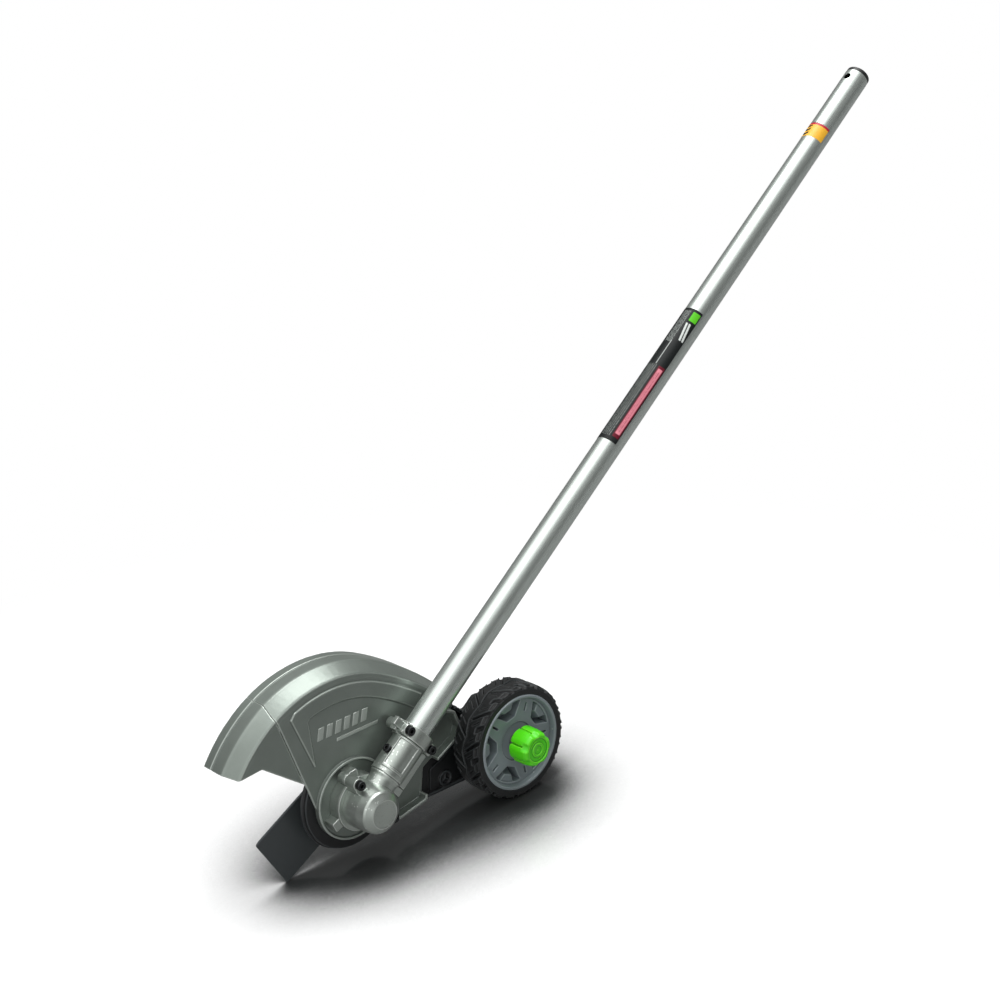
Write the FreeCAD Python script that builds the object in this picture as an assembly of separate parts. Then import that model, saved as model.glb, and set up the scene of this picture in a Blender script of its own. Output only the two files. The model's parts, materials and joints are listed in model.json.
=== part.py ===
"""Lawn edger attachment: straight shaft, right-angle gear head, blade guard, edging blade and depth wheel.

Units are millimetres.  The shapes are modelled around the gear head, where the blade axis is the
Y axis (+X forward, +Y to the side of the wheel knob, +Z up), and are moved at export so that the
origin of the finished part is the centre of the shaft's upper end.
"""
import FreeCAD
import Part
import math
import os

V = FreeCAD.Vector

# ---------------------------------------------------------------- driving dimensions
FIT = 0.04                  # radial clearance of every running or located fit
SEAT = 0.02                 # gap between stacked faces

# Main shaft: a tube that leans back from the gear head
TUBE_ANGLE = 43.35          # above the horizontal
TUBE_Y = 19.5               # plane of the tube axis, measured from the guard plate
TUBE_R = 13.0
TUBE_WALL = 1.5
TUBE_START = 45.2           # distances along the tube axis, from the blade axis
TUBE_END = 911.0
LOCK_HOLE_AT = 901.5
LOCK_HOLE_R = 4.0
LABEL_SPAN = (410.5, 576.0)
LABEL_ARC = (20.0, 180.0)   # start angle around the tube, from +Y towards the front, and sweep
INSERTION_SPAN = (814.0, 830.0)
INSERTION_LINE_SPAN = (830.1, 832.6)
INSERTION_ARC = (10.0, 190.0)
LABEL_THICK = 0.16
SCRIBE_SPAN = (832.7, 833.5)    # shallow groove that marks how far the tube enters a coupler
SCRIBE_DEPTH = 0.3
CAP_PLUG = 4.8              # length of the end cap's plug inside the tube

# Drive line
DRIVE_R = 4.0
DRIVE_SQUARE = 5.6
DRIVE_START = 44.0
DRIVE_END = 903.0
SQUARE_LENGTH = 18.0
SOCKET_R = 7.5
SOCKET_SPAN = (35.0, 63.0)
BUSH_AT = (120.0, 310.0, 500.0, 690.0, 860.0)
BUSH_LENGTH = 18.0

# Bevel gears, apex where the tube axis meets the blade axis
MODULE = 1.5
PINION_TEETH = 12
GEAR_TEETH = 19
FACE_WIDTH = 4.6
TOOTH_SHARE = 0.40          # tooth thickness over circular pitch, leaving backlash
ADDENDUM = 0.80             # in modules
DEDENDUM = 1.10
PRESSURE_ANGLE = 20.0
PINION_BACK = 17.0          # distances from the apex to the back of each gear
GEAR_BACK = 12.3
GEAR_BACK_Y = TUBE_Y - GEAR_BACK

# Bearings: bore radius, outer radius, width
SMALL_BEARING = (4.0, 11.0, 7.0)
LARGE_BEARING = (5.0, 13.0, 8.0)
BALLS = 8
PINION_BEARING_AT = (20.7, 28.0)
CAP_BEARING_Y = 36.8
BASE_BEARING_Y = 3.0

# Gear head
BARREL_R = 22.0
CAP_R = 19.8
CAP_EDGE_Y = 40.8
CAP_FACE_R = 12.3
CAP_FACE_Y = 47.0
CAVITY_R = 17.0
CAVITY_TOP_Y = 33.0
NECK_R = 13.6
CLAMP_R = 15.8
CLAMP_SPAN = (31.2, 66.0)
COLLAR_SPAN = (66.0, 79.5)
COLLAR_R = 18.0
COLLAR_SCREW_AT = 72.8
COLLAR_SCREW_S = 17.2
COLLAR_FINGER_S = 32.0      # reach of the finger on the cap's front side
LOCATING_AT = 50.0
BASE_R = 26.0
BASE_TOP_Y = 14.0
SPIGOT_R = 18.0
SPIGOT_Y = -5.0
LUG_CIRCLE_R = 30.0
LUG_TIP_R = 34.0
LUG_ANGLES = (75.0, -29.0, 202.0)
HOUSING_SCREWS = ((29.4, 62.0), (27.6, 215.0))     # radius and angle around the blade axis
SCREW_R = 2.5               # M5 fasteners throughout, with 4.5 mm high socket heads
SCREW_HEAD_R = 4.3
SCREW_HEAD = 4.6

# Guard: the crown is three tangent arcs around the blade
GUARD_CENTRE = (6.2, -3.8)
CROWN_R = 128.0
SEAM_ANGLE = 52.0
REAR_BLEND_ANGLE = 110.0
REAR_ARC_R = 272.0
REAR_ARC_SWEEP = 21.6
FRONT_ARC_R = 140.0
FRONT_ARC_SWEEP = 26.0
BAND = 30.0                 # width of the swept band, from the crown inwards
LIP_Y = -46.0
PLATE_BACK = -4.0
PLATE_Y = -1.6              # near face of the side plate and wing
FLAP_Y = -2.2
FLAP_STRIP_BACK = PLATE_BACK - 3.0
STRIPE = (30.0, 15.5)       # raised stripe along the crown, measured in from the crown
STRIPE_START = 62.0
STRIPE_REAR_SWEEP = 12.0
BOSS_R = 38.4
BOSS_LIP = 2.3
FRONT_EDGE = ((76.0, 150.0), (77.6, 94.5), (48.0, 23.0))     # top, bend and knee
WING_HEIGHT = 8.0
WING_WALL = 2.6

# Cutting group
BLADE_LENGTH = 176.0
BLADE_WIDTH = 55.0
BLADE_THICK = 2.5
BLADE_Y = -25.0
BLADE_TILT = -34.5
PILOT_R = 10.0
SHAFT_R = 5.0
FLANGE_R = 20.0
SHIELD_R = 48.4
SHIELD_Y = (-10.5, -4.0)

# Depth wheel
WHEEL = (-162.3, 21.5)
RIM_R = 46.4
RIM_SPAN = (12.0, 45.0)
FACE_Y = 39.5
HUB_FACE_Y = 38.0
HUB_R = 19.0
TYRE_R = 55.4
TYRE_SPAN = (10.0, 44.6)
TREAD_BLOCKS = 24
SPOKES = 5
SLEEVE_R = 8.0
BOLT_R = 4.0
KNOB_SPAN = (47.0, 69.0)
KNOB_R = 17.6
KNOB_FACE_R = 14.4
KNOB_LOBES = 6
KNOB_TURN = -11.0           # where the knob stands at rest
SLEEVE_END = KNOB_SPAN[0] - 1.5
DEPTH_TRAVEL = 17.0         # the wheel's travel up and down from its middle setting
SLOT_HALF_WIDTH = 7.0
SLIDER_HALF_HEIGHT = 10.0
BRACKET_Y = (-12.0, PLATE_BACK - SEAT)
SLOT_FACE_Y = 6.0

# ---------------------------------------------------------------- directions
SLOPE = math.radians(TUBE_ANGLE)
ALONG = V(-math.cos(SLOPE), 0, math.sin(SLOPE))     # up the tube
ACROSS = V(math.sin(SLOPE), 0, math.cos(SLOPE))     # forward and up, square to the tube
SIDE = V(0, 1, 0)
APEX = V(0, TUBE_Y, 0)


def shaft_point(along, across=0.0, y=TUBE_Y):
    """A point given by its distance up the tube, across it, and its Y."""
    point = ALONG * along + ACROSS * across
    return V(point.x, y, point.z)


TUBE_TOP = shaft_point(TUBE_END)


# ---------------------------------------------------------------- shape helpers
def polar(radius, angle, centre=(0.0, 0.0)):
    """The (x, z) point at an angle about a Y axis, measured from +X towards +Z."""
    turn = math.radians(angle)
    return (centre[0] + radius * math.cos(turn), centre[1] + radius * math.sin(turn))


def y_rod(radius, low, high, centre=(0.0, 0.0)):
    """A round bar along Y."""
    return Part.makeCylinder(radius, high - low, V(centre[0], low, centre[1]), SIDE)


def y_ring(outer, inner, low, high, centre=(0.0, 0.0)):
    """A plain ring around a Y axis."""
    return y_rod(outer, low, high, centre).cut(y_rod(inner, low - 1, high + 1, centre))


def tube_rod(radius, low, high):
    """A round bar on the tube axis."""
    return Part.makeCylinder(radius, high - low, shaft_point(low), ALONG)


def tube_ring(outer, inner, low, high):
    """A plain ring on the tube axis."""
    return tube_rod(outer, low, high).cut(tube_rod(inner, low - 1, high + 1))


def tube_block(along, across, y):
    """A block square to the tube, from (low, high) pairs along it, across it and in Y."""
    corners = [(along[0], across[0]), (along[1], across[0]), (along[1], across[1]), (along[0], across[1])]
    points = [shaft_point(a, s, y[0]) for a, s in corners]
    face = Part.Face(Part.makePolygon(points + points[:1]))
    return face.extrude(V(0, y[1] - y[0], 0))


def tube_sector(radii, span, arc):
    """Part of a ring on the tube axis; arc is its start angle, from +Y towards the front, and its sweep."""
    start, sweep = arc
    radial = SIDE * math.cos(math.radians(start)) + ACROSS * math.sin(math.radians(start))
    inner, outer = radii
    corners = [shaft_point(along) + radial * reach
               for along, reach in ((span[0], inner), (span[1], inner), (span[1], outer), (span[0], outer))]
    face = Part.Face(Part.makePolygon(corners + corners[:1]))
    return face.revolve(shaft_point(span[0]), ALONG * -1, sweep)


def across_rod(radius, along, low, high):
    """A round bar square to the tube, in the plane of the tube and the blade axis."""
    return Part.makeCylinder(radius, high - low, shaft_point(along, low), ACROSS)


def rounded_face(points, radius, y):
    """A face in a plane of constant Y from (x, z) corners, each rounded to one radius."""
    arcs = []
    for index, point in enumerate(points):
        corner = V(point[0], y, point[1])
        before = V(points[index - 1][0], y, points[index - 1][1]) - corner
        after = V(points[(index + 1) % len(points)][0], y, points[(index + 1) % len(points)][1]) - corner
        half = before.getAngle(after) / 2
        before.normalize()
        after.normalize()
        bisector = (before + after).normalize()
        reach = radius / math.tan(half)
        middle = corner + bisector * (radius / math.sin(half) - radius)
        arcs.append((corner + before * reach, middle, corner + after * reach))
    edges = []
    for index, (start, middle, end) in enumerate(arcs):
        edges.append(Part.LineSegment(arcs[index - 1][2], start).toShape())
        edges.append(Part.Arc(start, middle, end).toShape())
    return Part.Face(Part.Wire(Part.__sortEdges__(edges)))


def rounded_prism(points, radius, low, high):
    """A plate with rounded corners, square to Y."""
    return rounded_face(points, radius, low).extrude(V(0, high - low, 0))


def plain_prism(points, low, high):
    """A plate with sharp corners, square to Y."""
    corners = [V(x, low, z) for x, z in points]
    return Part.Face(Part.makePolygon(corners + corners[:1])).extrude(V(0, high - low, 0))


def turned(profile, centre=(0.0, 0.0), start=0.0, sweep=360.0):
    """A solid turned about a Y axis from closed (radius, y) points."""
    direction = V(math.cos(math.radians(start)), 0, math.sin(math.radians(start)))
    base = V(centre[0], 0, centre[1])
    corners = [base + direction * radius + SIDE * y for radius, y in profile]
    face = Part.Face(Part.makePolygon(corners + corners[:1]))
    return face.revolve(base, SIDE * -1, sweep)


def spun(shape, angle, centre=(0.0, 0.0)):
    """A copy turned about a Y axis, from +X towards +Z."""
    copy = shape.copy()
    copy.rotate(V(centre[0], 0, centre[1]), SIDE * -1, angle)
    return copy


def placed(shape, origin, axis, reference):
    """A copy whose own Z and X directions are turned to axis and reference."""
    copy = shape.copy()
    turn = FreeCAD.Rotation(reference, axis.cross(reference), axis, "ZXY")
    copy.Placement = FreeCAD.Placement(origin, turn)
    return copy


def union(shapes):
    """One solid from overlapping shapes, with its seams removed."""
    result = shapes[0]
    for shape in shapes[1:]:
        result = result.fuse(shape)
    return result.removeSplitter()


def cut_all(shape, tools):
    for tool in tools:
        shape = shape.cut(tool)
    return shape


def export(name, shape):
    """Write one sub-part, moved so that the shaft's upper end is the origin."""
    moved = shape.copy()
    moved.translate(TUBE_TOP * -1)
    moved.exportStep(os.path.join("parts", name + ".step"))


def export_group(name, shapes):
    """Write identical pieces as one sub-part of separate solids."""
    export(name, Part.makeCompound(shapes))


# ---------------------------------------------------------------- standard pieces
def socket_screw(head_top, direction, length, radius=SCREW_R, head_r=SCREW_HEAD_R, head=SCREW_HEAD):
    """A socket-head screw: head_top is the centre of the head's face, direction points down the shank."""
    drive_r = head_r * 0.52
    rim = 0.5
    crown = Part.makeCone(head_r - rim, head_r, rim, head_top, direction)
    body = Part.makeCylinder(head_r, head - rim, head_top + direction * rim, direction)
    shank = Part.makeCylinder(radius, length, head_top + direction * head, direction)
    seed = direction.cross(SIDE)
    if seed.Length < 0.5:
        seed = direction.cross(V(1, 0, 0))
    seed.normalize()
    other = direction.cross(seed)
    corners = []
    for step in range(6):
        turn = math.radians(60 * step)
        corners.append(head_top + seed * (drive_r * math.cos(turn)) + other * (drive_r * math.sin(turn)))
    drive = Part.Face(Part.makePolygon(corners + corners[:1])).extrude(direction * (head * 0.6))
    return union([crown, body, shank]).cut(drive)


def ball_bearing(size, centre, axis, reference):
    """Outer race, inner race and balls of a bearing on an axis; reference is square to the axis."""
    bore, outer, width = size
    pitch = (bore + outer) / 2
    ball_r = (outer - bore) * 0.27
    land = ball_r * 0.55
    base = centre - axis * (width / 2)
    across = axis.cross(reference)
    track = Part.makeTorus(pitch, ball_r + FIT, centre, axis)
    outer_race = Part.makeCylinder(outer, width, base, axis)
    outer_race = outer_race.cut(Part.makeCylinder(pitch + land, width, base, axis)).cut(track)
    inner_race = Part.makeCylinder(pitch - land, width, base, axis)
    inner_race = inner_race.cut(Part.makeCylinder(bore + FIT, width, base, axis)).cut(track)
    balls = []
    for index in range(BALLS):
        turn = 2 * math.pi * index / BALLS
        spot = centre + reference * (pitch * math.cos(turn)) + across * (pitch * math.sin(turn))
        balls.append(Part.makeSphere(ball_r, spot))
    return outer_race, inner_race, balls


def bevel_gear(teeth, mate_teeth, back, bore, phase):
    """A straight bevel gear about Z with its apex at the origin; phase turns its first tooth."""
    pitch_r = MODULE * teeth / 2
    depth = MODULE * mate_teeth / 2
    cone = math.hypot(pitch_r, depth)
    lead = V(pitch_r / cone, 0, depth / cone)
    outward = V(depth / cone, 0, -pitch_r / cone)
    toe = (cone - FACE_WIDTH) / cone
    root = lead * cone - outward * (DEDENDUM * MODULE)
    profile = [(bore, root.z * toe), (root.x * toe, root.z * toe), (root.x, root.z), (root.x - 1.0, back),
               (bore, back)]
    corners = [V(radius, 0, z) for radius, z in profile]
    body = Part.Face(Part.makePolygon(corners + corners[:1])).revolve(V(0, 0, 0), V(0, 0, 1), 360)
    lean = math.tan(math.radians(PRESSURE_ANGLE))
    half_pitch = TOOTH_SHARE * math.pi * MODULE / 2
    tip_half = half_pitch - ADDENDUM * MODULE * lean
    sunk = DEDENDUM * MODULE + 0.4
    root_half = half_pitch + sunk * lean
    heel = []
    for height, half in ((-sunk, -root_half), (-sunk, root_half), (ADDENDUM * MODULE, tip_half),
                         (ADDENDUM * MODULE, -tip_half)):
        heel.append(lead * cone + outward * height + V(0, half, 0))
    heel_wire = Part.makePolygon(heel + heel[:1])
    toe_wire = Part.makePolygon([point * toe for point in heel + heel[:1]])
    tooth = Part.makeLoft([heel_wire, toe_wire], True, True)
    solids = [body]
    for index in range(teeth):
        copy = tooth.copy()
        copy.rotate(V(0, 0, 0), V(0, 0, 1), phase + 360.0 * index / teeth)
        solids.append(copy)
    result = solids[0].multiFuse(solids[1:])
    return result.removeSplitter()


# ---------------------------------------------------------------- main shaft
def shaft_tube():
    """The aluminium tube: scribed insertion mark, lock-button hole near its top, locating hole below."""
    tube = tube_ring(TUBE_R, TUBE_R - TUBE_WALL, TUBE_START, TUBE_END)
    lock_hole = across_rod(LOCK_HOLE_R, LOCK_HOLE_AT, 0, TUBE_R + 5)
    locating_hole = across_rod(2.6, LOCATING_AT, 0, TUBE_R + 5)
    scribe = tube_ring(TUBE_R + 1, TUBE_R - SCRIBE_DEPTH, *SCRIBE_SPAN)
    return cut_all(tube, [lock_hole, locating_hole, scribe])


def wrapped_label(span, arc):
    """A thin label wrapped part of the way round the tube."""
    inner = TUBE_R + 0.01
    return tube_sector((inner, inner + LABEL_THICK), span, arc)


def drive_shaft():
    """The steel shaft inside the tube, squared at both ends to carry the drive."""
    shaft = tube_rod(DRIVE_R, DRIVE_START, DRIVE_END)
    half = DRIVE_SQUARE / 2
    sides = (-half, half)
    depth = (TUBE_Y - half, TUBE_Y + half)
    keep = tube_block((DRIVE_START - 1, DRIVE_START + SQUARE_LENGTH), sides, depth)
    keep_top = tube_block((DRIVE_END - SQUARE_LENGTH, DRIVE_END + 1), sides, depth)
    middle = tube_rod(DRIVE_R, DRIVE_START + SQUARE_LENGTH, DRIVE_END - SQUARE_LENGTH)
    return union([middle, shaft.common(keep), shaft.common(keep_top)])


def drive_bushes():
    """Plastic bushes that hold the drive shaft central in the tube."""
    bushes = []
    for along in BUSH_AT:
        bush = tube_ring(TUBE_R - TUBE_WALL - SEAT, DRIVE_R + FIT, along, along + BUSH_LENGTH)
        waist = tube_ring(TUBE_R, TUBE_R - TUBE_WALL - 1.5, along + 4, along + BUSH_LENGTH - 4)
        bushes.append(bush.cut(waist))
    return bushes


def end_cap():
    """The push-in plug that closes the tube for storage."""
    plug = tube_ring(TUBE_R - TUBE_WALL - FIT, 8.5, TUBE_END - CAP_PLUG, TUBE_END + 1)
    flange = tube_rod(TUBE_R - 0.2, TUBE_END + SEAT, TUBE_END + 4.4)
    nub = tube_rod(4.2, TUBE_END + 4, TUBE_END + 8.6)
    slotted = (TUBE_END - CAP_PLUG - 1, TUBE_END - 1.5)
    slots = [tube_block(slotted, (-1, 1), (TUBE_Y - 20, TUBE_Y + 20)),
             tube_block(slotted, (-20, 20), (TUBE_Y - 1, TUBE_Y + 1))]
    return cut_all(union([plug, flange, nub]), slots)


# ---------------------------------------------------------------- gear head
def housing_barrel():
    """Barrel, neck and clamp of the gear housing, before its cavities are cut."""
    cap_profile = [(0, BASE_TOP_Y + SEAT), (BARREL_R, BASE_TOP_Y + SEAT), (BARREL_R, 22),
                   (BARREL_R - 0.8, 32), (CAP_R, CAP_EDGE_Y), (CAP_R - 1.0, CAP_EDGE_Y + 1.6),
                   (CAP_FACE_R + 0.6, CAP_FACE_Y), (CAP_FACE_R, CAP_FACE_Y - 0.6), (0, CAP_FACE_Y - 1.4)]
    barrel = turned(cap_profile)
    neck = tube_rod(NECK_R, 0, CLAMP_SPAN[0])
    clamp = tube_rod(CLAMP_R, CLAMP_SPAN[0] - 1.2, CLAMP_SPAN[1] + 1)
    shoulder = Part.makeCone(NECK_R, CLAMP_R - 0.6, 3.0, shaft_point(CLAMP_SPAN[0] - 4.6), ALONG)
    low, high = CLAMP_SPAN
    frame = tube_sector((CLAMP_R - 1.0, CLAMP_R + 1.0), (low + 4.3, high + 0.5), (-3.0, 80.0))
    window = tube_sector((CLAMP_R - 1.0, CLAMP_R + 3.0), (low + 6.8, high - 1.5), (1.5, 71.0))
    return union([barrel, neck, clamp, shoulder, frame.cut(window)])


def housing_saddle():
    """The far half of the collar that the clamp cap closes on, and the split flange below the barrel."""
    far = (TUBE_Y - COLLAR_R, TUBE_Y - 0.6)
    disc = tube_rod(COLLAR_R, *COLLAR_SPAN).common(tube_block(COLLAR_SPAN, (-30, 30), far))
    ears = tube_block((COLLAR_SPAN[0] + 1, COLLAR_SPAN[1] - 1), (-COLLAR_SCREW_S - 5, COLLAR_SCREW_S + 5),
                      (TUBE_Y - 8, TUBE_Y - 0.6))
    foot = shaft_point(COLLAR_SCREW_AT, COLLAR_SCREW_S, 3.0)
    column = Part.makeCylinder(5.0, TUBE_Y - 0.6 - 3.0, foot, SIDE)
    flange = tube_block((CLAMP_SPAN[0] - 8, CLAMP_SPAN[1] + 1), (-23.6, -10), (TUBE_Y - 4.5, TUBE_Y + 4.5))
    rib = tube_block((8, CLAMP_SPAN[0] + 1), (-17.0, -10), (TUBE_Y - 3.0, TUBE_Y + 3.0))
    return union([disc, ears, column, flange, rib])


def gear_housing():
    """The die-cast housing: bevel gears in the barrel, pinion bearings in the neck, tube in the clamp."""
    screw_ears = []
    scallops = []
    for radius, angle in HOUSING_SCREWS:
        centre = polar(radius, angle)
        screw_ears.append(y_rod(5.6, BASE_TOP_Y + SEAT, 28.4, centre))
        screw_ears.append(y_rod(5.6, BASE_TOP_Y + SEAT, 28.4, polar(radius - 5, angle)))
        scallops.append(y_rod(5.2, 28.4, 60, centre))
        scallops.append(y_rod(SCREW_R + FIT, 0, 60, centre))
    housing = union([housing_barrel(), housing_saddle()] + screw_ears)
    large = SMALL_BEARING[1] + FIT
    seat_top = CAP_BEARING_Y + SMALL_BEARING[2] / 2 + FIT
    tools = scallops + [
        y_rod(CAVITY_R, 0, CAVITY_TOP_Y),
        y_rod(large, CAVITY_TOP_Y - 1, seat_top),
        y_rod(7.0, seat_top - 1, seat_top + 2.5),
        tube_rod(large, 6, 100),
        tube_rod(TUBE_R + FIT, TUBE_START - 0.1, 100),
        tube_rod(large + 0.9, 32.2, 33.6),
        tube_ring(30, CLAMP_R - 1.0, CLAMP_SPAN[0] - 1.3, CLAMP_SPAN[0] - 0.3),
        tube_block((CLAMP_SPAN[0] + 3, 100), (-30, 0), (TUBE_Y - 0.6, TUBE_Y + 0.6)),
        across_rod(2.0 + FIT, LOCATING_AT, 0, 40),
        across_rod(4.1, LOCATING_AT, CLAMP_R - 0.4, 40),
    ]
    for across in (-COLLAR_SCREW_S, COLLAR_SCREW_S):
        tools.append(Part.makeCylinder(SCREW_R + FIT, 40, shaft_point(COLLAR_SCREW_AT, across, 6), SIDE))
    return cut_all(housing, tools)


def clamp_cap():
    """The near half of the collar, held over the tube by two screws, with a finger on its front side."""
    near = (TUBE_Y + 0.6, TUBE_Y + COLLAR_R)
    span = (COLLAR_SPAN[0] + 1.05, COLLAR_SPAN[1])
    disc = tube_rod(COLLAR_R, *span).common(tube_block(span, (-30, 30), near))
    ears = tube_block((span[0] + 0.4, span[1] - 1), (-COLLAR_SCREW_S - 5, COLLAR_SCREW_S + 5),
                      (near[0], TUBE_Y + 9))
    finger = tube_block((span[0] + 2, span[1] - 3), (CLAMP_R, COLLAR_FINGER_S), (near[0], TUBE_Y + 5.5))
    bosses = []
    tools = [tube_rod(TUBE_R + FIT, span[0] - 5, span[1] + 5)]
    for across in (-COLLAR_SCREW_S, COLLAR_SCREW_S):
        centre = shaft_point(COLLAR_SCREW_AT, across, near[0])
        bosses.append(Part.makeCylinder(5.4, 9.9, centre, SIDE))
        tools.append(Part.makeCylinder(SCREW_R + FIT, 60, centre - SIDE * 20, SIDE))
        tools.append(Part.makeCylinder(SCREW_HEAD_R + 0.3, 30, centre + SIDE * 9.9, SIDE))
    return cut_all(union([disc, ears, finger] + bosses), tools)


def clamp_screws():
    """Two socket screws, parallel to the blade axis, that close the collar."""
    top = TUBE_Y + 0.6 + 9.9 + SEAT + SCREW_HEAD
    return [socket_screw(shaft_point(COLLAR_SCREW_AT, across, top), SIDE * -1, 20.0)
            for across in (-COLLAR_SCREW_S, COLLAR_SCREW_S)]


def locating_screw():
    """The screw that enters the tube's locating hole, so that the head can't turn."""
    return socket_screw(shaft_point(LOCATING_AT, CLAMP_R + 3.4), ACROSS * -1, 4.6, 2.0, 3.9, 3.7)


def housing_screws():
    screws = []
    for radius, angle in HOUSING_SCREWS:
        x, z = polar(radius, angle)
        screws.append(socket_screw(V(x, 28.4 + SEAT + SCREW_HEAD, z), SIDE * -1, 24.0))
    return screws


def housing_base():
    """The base ring that carries the lower bearing and seal, with three lugs for the guard screws."""
    ring = y_rod(BASE_R, SEAT, BASE_TOP_Y)
    spigot = y_rod(SPIGOT_R, SPIGOT_Y, 1)
    lugs = []
    tools = [
        y_rod(CAVITY_R, GEAR_BACK_Y - 0.3, 30),
        y_rod(LARGE_BEARING[1] + FIT, BASE_BEARING_Y - LARGE_BEARING[2] / 2 - FIT, 30),
        y_rod(11.0, SPIGOT_Y - 1, 5),
        y_ring(40, BASE_R - 1.2, BASE_TOP_Y - 1.6, BASE_TOP_Y - 0.6),
        tube_rod(NECK_R + 0.1, 0, 60),
    ]
    for angle in LUG_ANGLES:
        corners = [polar(BASE_R - 6, angle - 14), polar(LUG_TIP_R, angle - 7.8),
                   polar(LUG_TIP_R, angle + 7.8), polar(BASE_R - 6, angle + 14)]
        lugs.append(rounded_prism(corners, 1.5, SEAT, 12.5))
        tools.append(y_rod(SCREW_R + FIT, SPIGOT_Y, 10.6, polar(LUG_CIRCLE_R, angle)))
    for radius, angle in HOUSING_SCREWS:
        lugs.append(y_rod(5.6, 4.0, BASE_TOP_Y, polar(radius, angle)))
        tools.append(y_rod(SCREW_R + FIT, 4.0 - 1, 30, polar(radius, angle)))
    return cut_all(union([ring, spigot] + lugs), tools)


def shaft_seal():
    """The lip seal between the base and the inner flange's neck."""
    body = y_ring(11.0 - FIT, 7.0 + FIT, SPIGOT_Y + 0.3, -1.4)
    groove = y_ring(9.6, 8.0, SPIGOT_Y, SPIGOT_Y + 1.6)
    return body.cut(groove)


def bearing_circlip():
    """The split ring that keeps the pinion bearings in the neck."""
    ring = tube_ring(SMALL_BEARING[1] + 0.8, 9.6, 32.3, 33.5)
    eyes = []
    for turn in (0.28, -0.28):
        centre = shaft_point(32.3, 9.6 * math.cos(turn), TUBE_Y + 9.6 * math.sin(turn))
        eyes.append(Part.makeCylinder(1.5, 1.2, centre, ALONG))
    gap = tube_block((32, 34), (0, 20), (TUBE_Y - 1.2, TUBE_Y + 1.2))
    return union([ring] + eyes).cut(gap)


def pinion_bearings():
    """Both neck bearings, as lists of outer races, inner races and balls."""
    outer_races, inner_races, balls = [], [], []
    for along in PINION_BEARING_AT:
        outer, inner, ball_set = ball_bearing(SMALL_BEARING, shaft_point(along), ALONG, ACROSS)
        outer_races.append(outer)
        inner_races.append(inner)
        balls.extend(ball_set)
    return outer_races, inner_races, balls


def output_bearing(size, y):
    """One bearing on the blade axis."""
    return ball_bearing(size, V(0, y, 0), SIDE, V(1, 0, 0))


def pinion_shaft():
    """The pinion, cut on its shaft, with a square socket that the drive shaft enters."""
    teeth = bevel_gear(PINION_TEETH, GEAR_TEETH, PINION_BACK, 0.0, 180.0 / PINION_TEETH)
    teeth = placed(teeth, APEX, ALONG, SIDE * -1)
    core = tube_rod(SMALL_BEARING[0], 12.5, SOCKET_SPAN[0] + 1)
    socket = tube_rod(SOCKET_R, *SOCKET_SPAN)
    half = DRIVE_SQUARE / 2 + FIT
    hole = tube_block((DRIVE_START - 2, 100), (-half, half), (TUBE_Y - half, TUBE_Y + half))
    throat = tube_rod(DRIVE_R + FIT, DRIVE_START + SQUARE_LENGTH - 0.5, 100)
    return union([teeth, core, socket]).cut(hole).cut(throat)


def driven_gear():
    gear = bevel_gear(GEAR_TEETH, PINION_TEETH, GEAR_BACK, SHAFT_R + FIT, 0.0)
    return placed(gear, APEX, SIDE * -1, ALONG)


# ---------------------------------------------------------------- guard
REAR_CENTRE = polar(CROWN_R - REAR_ARC_R, REAR_BLEND_ANGLE, GUARD_CENTRE)
FRONT_CENTRE = polar(CROWN_R - FRONT_ARC_R, SEAM_ANGLE, GUARD_CENTRE)
# Section of the crown as (distance in from the crown, y): near face, then far face
CROWN_NEAR = [(8.9, -2.6), (7.4, -4.4), (1.5, -17.4), (0.4, -19.2), (0.0, -21.5), (0.0, -34.0), (1.3, -34.4),
              (1.3, -35.8), (0.0, -36.2), (0.0, LIP_Y)]
CROWN_FAR = [(2.5, LIP_Y), (2.5, -21.8), (9.6, -6.6), (13.0, -4.6)]


def band(centre, radius, start, sweep, near, far):
    """A stretch of the crown: its section turned about one arc's centre."""
    profile = [(radius - inset, y) for inset, y in near + far]
    return turned(profile, centre, start, sweep)


def front_tool(shift):
    """Everything ahead of the guard's front edge, moved forward by shift."""
    top, bend, knee = [V(x + shift, -80, z) for x, z in FRONT_EDGE]
    low = knee + (knee - bend).normalize() * 5
    corners = [top, bend, low, low + V(150, 0, -60), top + V(150, 0, 0)]
    return Part.Face(Part.makePolygon(corners + corners[:1])).extrude(V(0, 120, 0))


WING = [(-113.5, 55.0), (-121.0, 38.0), (-117.0, 27.0), (-100.0, 16.0), (-82.0, 5.0), (-79.5, -24.0),
        (-46.0, -33.5), (-20.0, -10.0), (-40.0, 40.0), (-80.0, 66.0)]
BRACKET_SCREWS = ((-62.0, -20.0), (-66.0, 22.0), (-96.0, 32.0))
FLAP_SCREWS = ((43.5, 48.0), (54.5, 76.0))
FLAP_SCREW_R = 2.0
STRIPE_LEG = [(37.4, 35.7), (63.1, 89.9), (58.6, 96.3), (43.4, 87.6), (45.3, 83.6), (39.7, 45.0)]


def guard_wing():
    """The rear wing: a plate with a raised flange around its outer edge."""
    plate = rounded_prism(WING, 3.0, PLATE_BACK, PLATE_Y)
    wall = rounded_prism(WING, 3.0, PLATE_BACK, WING_HEIGHT)
    inset = rounded_face(WING, 3.0, PLATE_BACK - 1).makeOffset2D(-WING_WALL)
    inner = inset.extrude(V(0, WING_HEIGHT + 8, 0))
    keep = plain_prism([(-46, -60), (-46, -18), (-92, -18), (-92, 46), (-105, 62), (-150, 90), (-150, -60)],
                       PLATE_BACK, WING_HEIGHT + 1)
    return union([plate, wall.cut(inner).common(keep)])


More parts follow.
